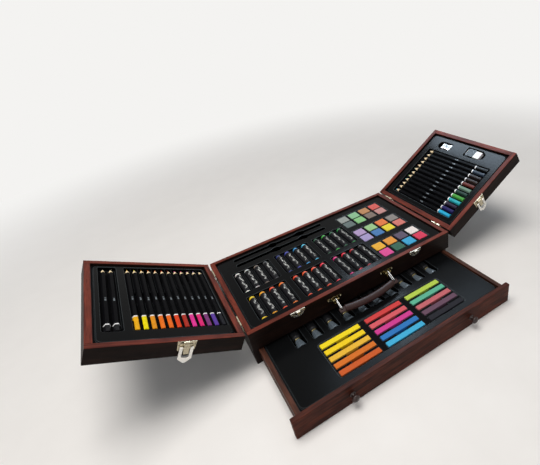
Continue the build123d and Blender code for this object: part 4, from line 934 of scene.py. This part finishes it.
class ARTBOX_OT_knobs(bpy.types.Operator):
    """Turn the knobs of the drawer."""

    bl_idname = "artbox.knobs"
    bl_label = "Knobs"

    def execute(self, context):
        tones = context.scene.art_box_colours
        # Dark lacquer on turned beech: nearly black, with a round highlight
        lacquer = grained("lacquered_beech_knob", shades(tones.knob, 1, 2.2), 3, 0.36, 0.03,
                          level=0.4)
        boxes = solid_boxes("drawer_knobs")
        face = solid_boxes("drawer_front")[0][0].y
        low, high = boxes[0]
        out, radius = face - low.y, (high.z - low.z) / 2
        seat, widest = 0.02 * MM, 0.7
        shape = ((0.06, 0.74), (0.1, 0.69), (0.16, 0.56), (0.35, 0.49), (0.5, 0.76), (0.6, 0.95))
        profile = [(seat, 0), (seat, radius * 0.69),
                   *((along * out, wide * radius) for along, wide in shape),
                   *dome(widest * out, (1 - widest) * out, radius, 7)]
        seats = [(low, Vector((high.x, face, high.z))) for low, high in boxes]
        knobs = Gathered().lay(turned(profile, 40), seats, BACK_END, TO_FRONT)
        add_piece("turned_drawer_knobs", knobs, [lacquer], ["drawer_knobs"])
        return {"FINISHED"}


class ARTBOX_OT_fittings(bpy.types.Operator):
    """Press the hinges, latches, keepers and brackets."""

    bl_idname = "artbox.fittings"
    bl_label = "Fittings"

    def execute(self, context):
        tones, sizes = context.scene.art_box_colours, context.scene.art_box_sizes
        # Nickel plate on pressed steel: bright, with hairlines from barrel polishing
        nickel = grained("nickel_plated_steel", shades(tones.nickel, 1, 0.82), 1.2, 0.22, 0.01,
                         stretch=(1, 1, 4), metallic=1.0)
        # Brass plate on pressed steel: yellow, with sharp reflections
        brass = grained("brass_plated_steel", shades(tones.brass, 1, 0.75), 1.5, 0.14, 0.01,
                        stretch=(4, 1, 1), uneven=0.04, metallic=1.0)
        # Nickel tumbled longer: a pale mirror, with a share of near-white painted in as a painted highlight
        mirror = grained("mirror_painted_sheen_keeper", (tones.polish_and_painted_sheen, tones.nickel), 1.5, 0.2, 0.01,
                         metallic=0.8)
        # Nickel of the loops, painted nearly white as a painted reflection, so that it shows white from all sides
        bright = grained("white_painted_nickel", shades(tones.polish_and_painted_sheen, 1, 0.9), 1.2, 0.3, 0.01,
                         metallic=0.25)
        pressed = {"case_hinge_leaves": nickel, "latch_keepers": mirror,
                   "handle_brackets": brass}
        for hand in HANDS:
            pressed |= {f"{hand}_wing_hinge_leaves": nickel, f"{hand}_latch_plate": nickel,
                        f"{hand}_latch_lever": nickel, f"{hand}_latch_loop": bright}
            finish_node(f"{hand}_latch_pin", nickel)
        finish_node("hinge_pins", nickel)
        for node, metal in pressed.items():
            add_piece(f"pressed_{node}", softened(node, sizes.fitting_round), [metal], [node])
        return {"FINISHED"}


def screw_unit(reach, radius, head, sizes):
    """A pan-headed screw along Z with its head on Z 0, and a cross recess in the head."""
    mesh = disc(radius, 24)
    [cap] = mesh.faces
    stack(mesh, cap, ((head * 0.45,), (head * 0.4, 0.88), (head * 0.15, 0.8)))
    half, arm, near_top = sizes.recess_width / 2, radius * 0.6, head * 0.995
    for offset in (-arm, -half, half, arm):
        for axis in ((1, 0, 0), (0, 1, 0)):
            top = {f for f in mesh.faces if f.calc_center_median().z > near_top}
            parts = top | {e for f in top for e in f.edges} | {v for f in top for v in f.verts}
            bmesh.ops.bisect_plane(mesh, geom=list(parts), dist=MERGE, plane_no=axis,
                                   plane_co=Vector(axis) * offset)
    cross = []
    for face in mesh.faces:
        x, y, z = (abs(c) for c in face.calc_center_median())
        if z > near_top and min(x, y) < half and max(x, y) < arm:
            cross.append(face)
    lift(mesh, cross, (0, 0, -sizes.recess_depth))
    shank = bmesh.ops.create_circle(mesh, segments=12, radius=radius * 0.5, cap_ends=True)
    raise_cap(mesh, shank["verts"][0].link_faces[0], -reach)
    bmesh.ops.recalc_face_normals(mesh, faces=mesh.faces)
    return mesh


class ARTBOX_OT_screws(bpy.types.Operator):
    """Drive the screws."""

    bl_idname = "artbox.screws"
    bl_label = "Screws"

    def execute(self, context):
        tones, sizes = context.scene.art_box_colours, context.scene.art_box_sizes
        # Nickel plate on a rolled screw: like the fittings, a little duller
        steel = grained("nickel_plated_screw", shades(tones.nickel, 1, 0.7), 0.8, 0.26, 0.01,
                        metallic=1.0)
        sets = (("case_screws", HERE), ("left_wing_screws", wing_place("left")),
                ("right_wing_screws", wing_place("right")))
        for node, place in sets:
            screws = Gathered()
            for box in solid_boxes(node, place):
                size, centre = box[1] - box[0], spot_in(box)
                # Screws of the case look out of it, and those of a wing in towards its hinge
                to_right = (centre.x > 0) == (place == HERE)
                if size.y > size.x:
                    spot, turn = FRONT_END, TO_FRONT
                elif to_right:
                    spot, turn = RIGHT_END, Matrix.Rotation(pi / 2, 4, "Y")
                else:
                    spot, turn = LEFT_END, Matrix.Rotation(-pi / 2, 4, "Y")
                reach, radius, head = max(size), min(size) / 2, 0.7 * MM
                unit = screw_unit(reach - head, radius, head, sizes)
                screws.add(unit, place @ at(spot_in(box, spot)) @ turn @ at((0, 0, -head)))
            add_piece(f"driven_{node}", screws.mesh, [steel], [node])
        return {"FINISHED"}


class ARTBOX_OT_handle(bpy.types.Operator):
    """Round the grip's edges and finish its rings."""

    bl_idname = "artbox.handle"
    bl_label = "Handle"

    def execute(self, context):
        tones = context.scene.art_box_colours
        # Smooth waxed leather: faint pebble, soft sheen
        leather = grained("waxed_brown_leather", (tones.leather_dark, tones.leather_light), 1.4,
                          0.42, 0.04, uneven=0.06, level=0.15)
        # Drawn wire: grey, with a bright line along it
        steel = grained("bright_steel_wire", shades(tones.steel, 0.7, 0.55), 1.2, 0.2, 0.01,
                        metallic=1.0)
        finish_node("handle_rings", steel)
        grip = softened("handle_grip", 0.5 * MM, least_turn=50)
        add_piece("sewn_handle_grip", grip, [leather], ["handle_grip"])
        return {"FINISHED"}


class ARTBOX_OT_sharpener(bpy.types.Operator):
    """Cast the sharpener and fix its blade."""

    bl_idname = "artbox.sharpener"
    bl_label = "Sharpener"

    def execute(self, context):
        tones, sizes = context.scene.art_box_colours, context.scene.art_box_sizes
        # Die-cast magnesium, tumbled: pale grey and satin, painted nearly white as a painted reflection
        cast = grained("white_painted_magnesium", (linear("#FFFFFF"), linear("#ECF0F4")), 0.8, 0.45, 0.02,
                       metallic=0.3)
        # Ground tool steel: dark, with grinding lines across it
        ground = grained("ground_blade_steel", shades(tones.steel, 0.3, 0.2), 0.5, 0.4, 0.01,
                         stretch=(1, 12, 1), metallic=0.6)
        body = softened("sharpener_body", 0.3 * MM)
        add_piece("cast_sharpener_body", body, [cast], ["sharpener_body"])
        place = wing_place("right")
        spot = spot_in(solid_boxes("sharpener_blade", place)[0], HEAD)
        blade = Gathered()
        blade.add(softened("sharpener_blade", 0.1 * MM, 1), HERE)
        screw = screw_unit(0.3 * MM, 2.2 * MM, 1.0 * MM, sizes)
        blade.add(screw, place @ at(spot - Vector((0, 0, 0.2 * MM))))
        add_piece("ground_sharpener_blade", blade.mesh, [ground], ["sharpener_blade"])
        return {"FINISHED"}


class ARTBOX_OT_eraser(bpy.types.Operator):
    """Mould the eraser and fold its sleeve."""

    bl_idname = "artbox.eraser"
    bl_label = "Eraser"

    def execute(self, context):
        tones = context.scene.art_box_colours
        # Moulded vinyl: white, matt, with a little light in its edges
        vinyl = grained("white_vinyl_block", shades(tones.vinyl, 1, 0.93), 3, 0.5, 0.03,
                        subsurface_weight=0.1, subsurface_scale=0.003)
        # Card of the sleeve, with broken pale marks about 2 mm wide that say nothing
        card = grained("varnished_card", (tones.card, tones.card_mark), 2.2, 0.34, 0.02,
                       stretch=(1, 2, 1), level=0.1)
        add_piece("moulded_eraser", softened("eraser", 1.2 * MM, 3), [vinyl], ["eraser"])
        sleeve = softened("eraser_sleeve", 0.15 * MM, 1)
        add_piece("folded_eraser_sleeve", sleeve, [card], ["eraser_sleeve"])
        return {"FINISHED"}


def background_seen(tree):
    """One where a ray shows the background: straight to the camera, or by metal or glass."""
    camera, glossy, glass = (add_node(tree, "LightPath").outputs[f"Is {kind} Ray"]
                             for kind in ("Camera", "Glossy", "Transmission"))
    either = add_node(tree, "Math", {0: camera, 1: glossy}, operation="MAXIMUM")
    return add_node(tree, "Math", {0: either, 1: glass}, operation="MAXIMUM")


class ARTBOX_OT_stage(bpy.types.Operator):
    """Set up the floor, the lamps and the camera."""

    bl_idname = "artbox.stage"
    bl_label = "Stage"

    def execute(self, context):
        scene = context.scene
        tones = scene.art_box_colours
        ground = disc(6.0, 96)
        data = bpy.data.meshes.new("studio_floor")
        ground.to_mesh(data)
        ground.free()
        # Matt wall paint, rolled: even, with no reflections
        paint = grained("painted_studio_floor", shades(tones.floor, 1, 0.98), 80, 0.75, 0.01)
        # Away from the object the camera sees the floor's plain colour, so no horizon shows
        tree = paint.node_tree
        add = partial(add_node, tree)
        away = add("VectorMath", {0: add("TexCoord").outputs["Object"]}, operation="LENGTH")
        fade = add("MapRange", {"Value": away, "From Min": 0.55, "From Max": 1.5},
                   interpolation_type="SMOOTHSTEP")
        share = add("Math", {0: fade, 1: background_seen(tree)}, operation="MULTIPLY")
        plain = add("Emission", {"Color": tones.floor})
        mixed = add("MixShader", {0: share, 1: tree.nodes["Principled BSDF"], 2: plain})
        fill(tree, tree.nodes["Material Output"], {"Surface": mixed})
        data.materials.append(paint)
        floor = put("studio_floor", data)
        floor.location.z = CAD_BOX[0].z

        world = bpy.data.worlds.new("studio")
        world.use_nodes = True
        tree = world.node_tree
        seen = background_seen(tree)
        shown = add_node(tree, "Mix", {0: seen, 6: linear("#E4E6EA"), 7: tones.floor},
                         data_type="RGBA")
        strength = add_node(tree, "MapRange", {"Value": seen, "To Min": AMBIENT, "To Max": 1.0})
        fill(tree, tree.nodes["Background"], {"Color": shown, "Strength": strength})
        scene.world = world

        # The gleams are level cards that only the sheen of the trays and the metal shows
        lamps = (
            ("key_softbox", (-0.25, -0.1, 1.7), (1.1, 1.1), 25.0, "#FFFAF5"),
            ("wing_gleam", (0.43, 0.49, 0.79), (0.14, 0.42), 8.0, "#D8ECFF"),
            ("drawer_gleam", (0.83, 0.71, 1.43), (1.3, 0.2), 11.0, "#D8ECFF"),
            ("front_fill", (-1.0, -1.7, 1.0), (1.0, 1.0), 7.0, "#FFFFFF"),
        )
        for name, spot, size, power, code in lamps:
            light = bpy.data.lights.new(name, "AREA")
            light.shape = "RECTANGLE"
            light.size, light.size_y = size
            light.energy = power
            light.color = linear(code)[:3]
            lamp = put(name, light)
            lamp.location = spot
            lamp.visible_diffuse = not name.endswith("gleam")
            if lamp.visible_diffuse:
                aim = Vector((0, 0, 0.05)) - Vector(spot)
                lamp.rotation_euler = aim.to_track_quat("-Z", "Y").to_euler()

        level = cos(CAMERA_ELEVATION)
        back = Vector((sin(CAMERA_AZIMUTH) * level, -cos(CAMERA_AZIMUTH) * level,
                       sin(CAMERA_ELEVATION)))
        right = (-back).cross(Vector((0, 0, 1))).normalized()
        up = right.cross(-back)
        turn = Matrix((right * cos(CAMERA_ROLL) + up * sin(CAMERA_ROLL),
                       up * cos(CAMERA_ROLL) - right * sin(CAMERA_ROLL), back)).transposed()
        lens = bpy.data.cameras.new("photo_camera")
        lens.sensor_width = 36.0
        lens.lens = CAMERA_FOCUS / PICTURE[0] * lens.sensor_width
        lens.shift_x = (PICTURE[0] / 2 - CAMERA_CENTRE[0]) / PICTURE[0]
        lens.shift_y = (CAMERA_CENTRE[1] - PICTURE[1] / 2) / PICTURE[0]
        camera = put("photo_camera", lens)
        seat = at(CAMERA_TARGET + back * CAMERA_DISTANCE)
        camera.matrix_world = seat @ turn.to_4x4()
        scene.camera = camera
        scene.view_settings.view_transform = "Standard"
        return {"FINISHED"}


class ARTBOX_PT_panel(bpy.types.Panel):
    """Lists the pieces of the art box in the sidebar."""

    bl_idname = "ARTBOX_PT_panel"
    bl_label = "Art box"
    bl_space_type = "VIEW_3D"
    bl_region_type = "UI"
    bl_category = "Art box"

    def draw(self, context):
        for operator in OPERATORS:
            self.layout.operator(operator.bl_idname)
        for group in (context.scene.art_box_sizes, context.scene.art_box_colours):
            box = self.layout.box()
            for name in group.__annotations__:
                box.prop(group, name)


OPERATORS = (
    ARTBOX_OT_wood, ARTBOX_OT_trays, ARTBOX_OT_pencils, ARTBOX_OT_oil_pastels, ARTBOX_OT_cakes,
    ARTBOX_OT_soft_pastels, ARTBOX_OT_tubes, ARTBOX_OT_brushes, ARTBOX_OT_knobs,
    ARTBOX_OT_fittings, ARTBOX_OT_screws, ARTBOX_OT_handle, ARTBOX_OT_sharpener,
    ARTBOX_OT_eraser, ARTBOX_OT_stage,
)
CLASSES = (ArtBoxColours, ArtBoxSizes) + OPERATORS + (ARTBOX_PT_panel,)


def register():
    """Register the groups, the operators and the panel."""
    for item in CLASSES:
        bpy.utils.register_class(item)
    bpy.types.Scene.art_box_colours = PointerProperty(type=ArtBoxColours)
    bpy.types.Scene.art_box_sizes = PointerProperty(type=ArtBoxSizes)


def unregister():
    """Take the groups, the operators and the panel out again."""
    del bpy.types.Scene.art_box_sizes
    del bpy.types.Scene.art_box_colours
    for item in reversed(CLASSES):
        bpy.utils.unregister_class(item)


def main():
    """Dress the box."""
    register()
    for operator in OPERATORS:
        group, name = operator.bl_idname.split(".")
        getattr(getattr(bpy.ops, group), name)()


if __name__ == "__main__":
    main()
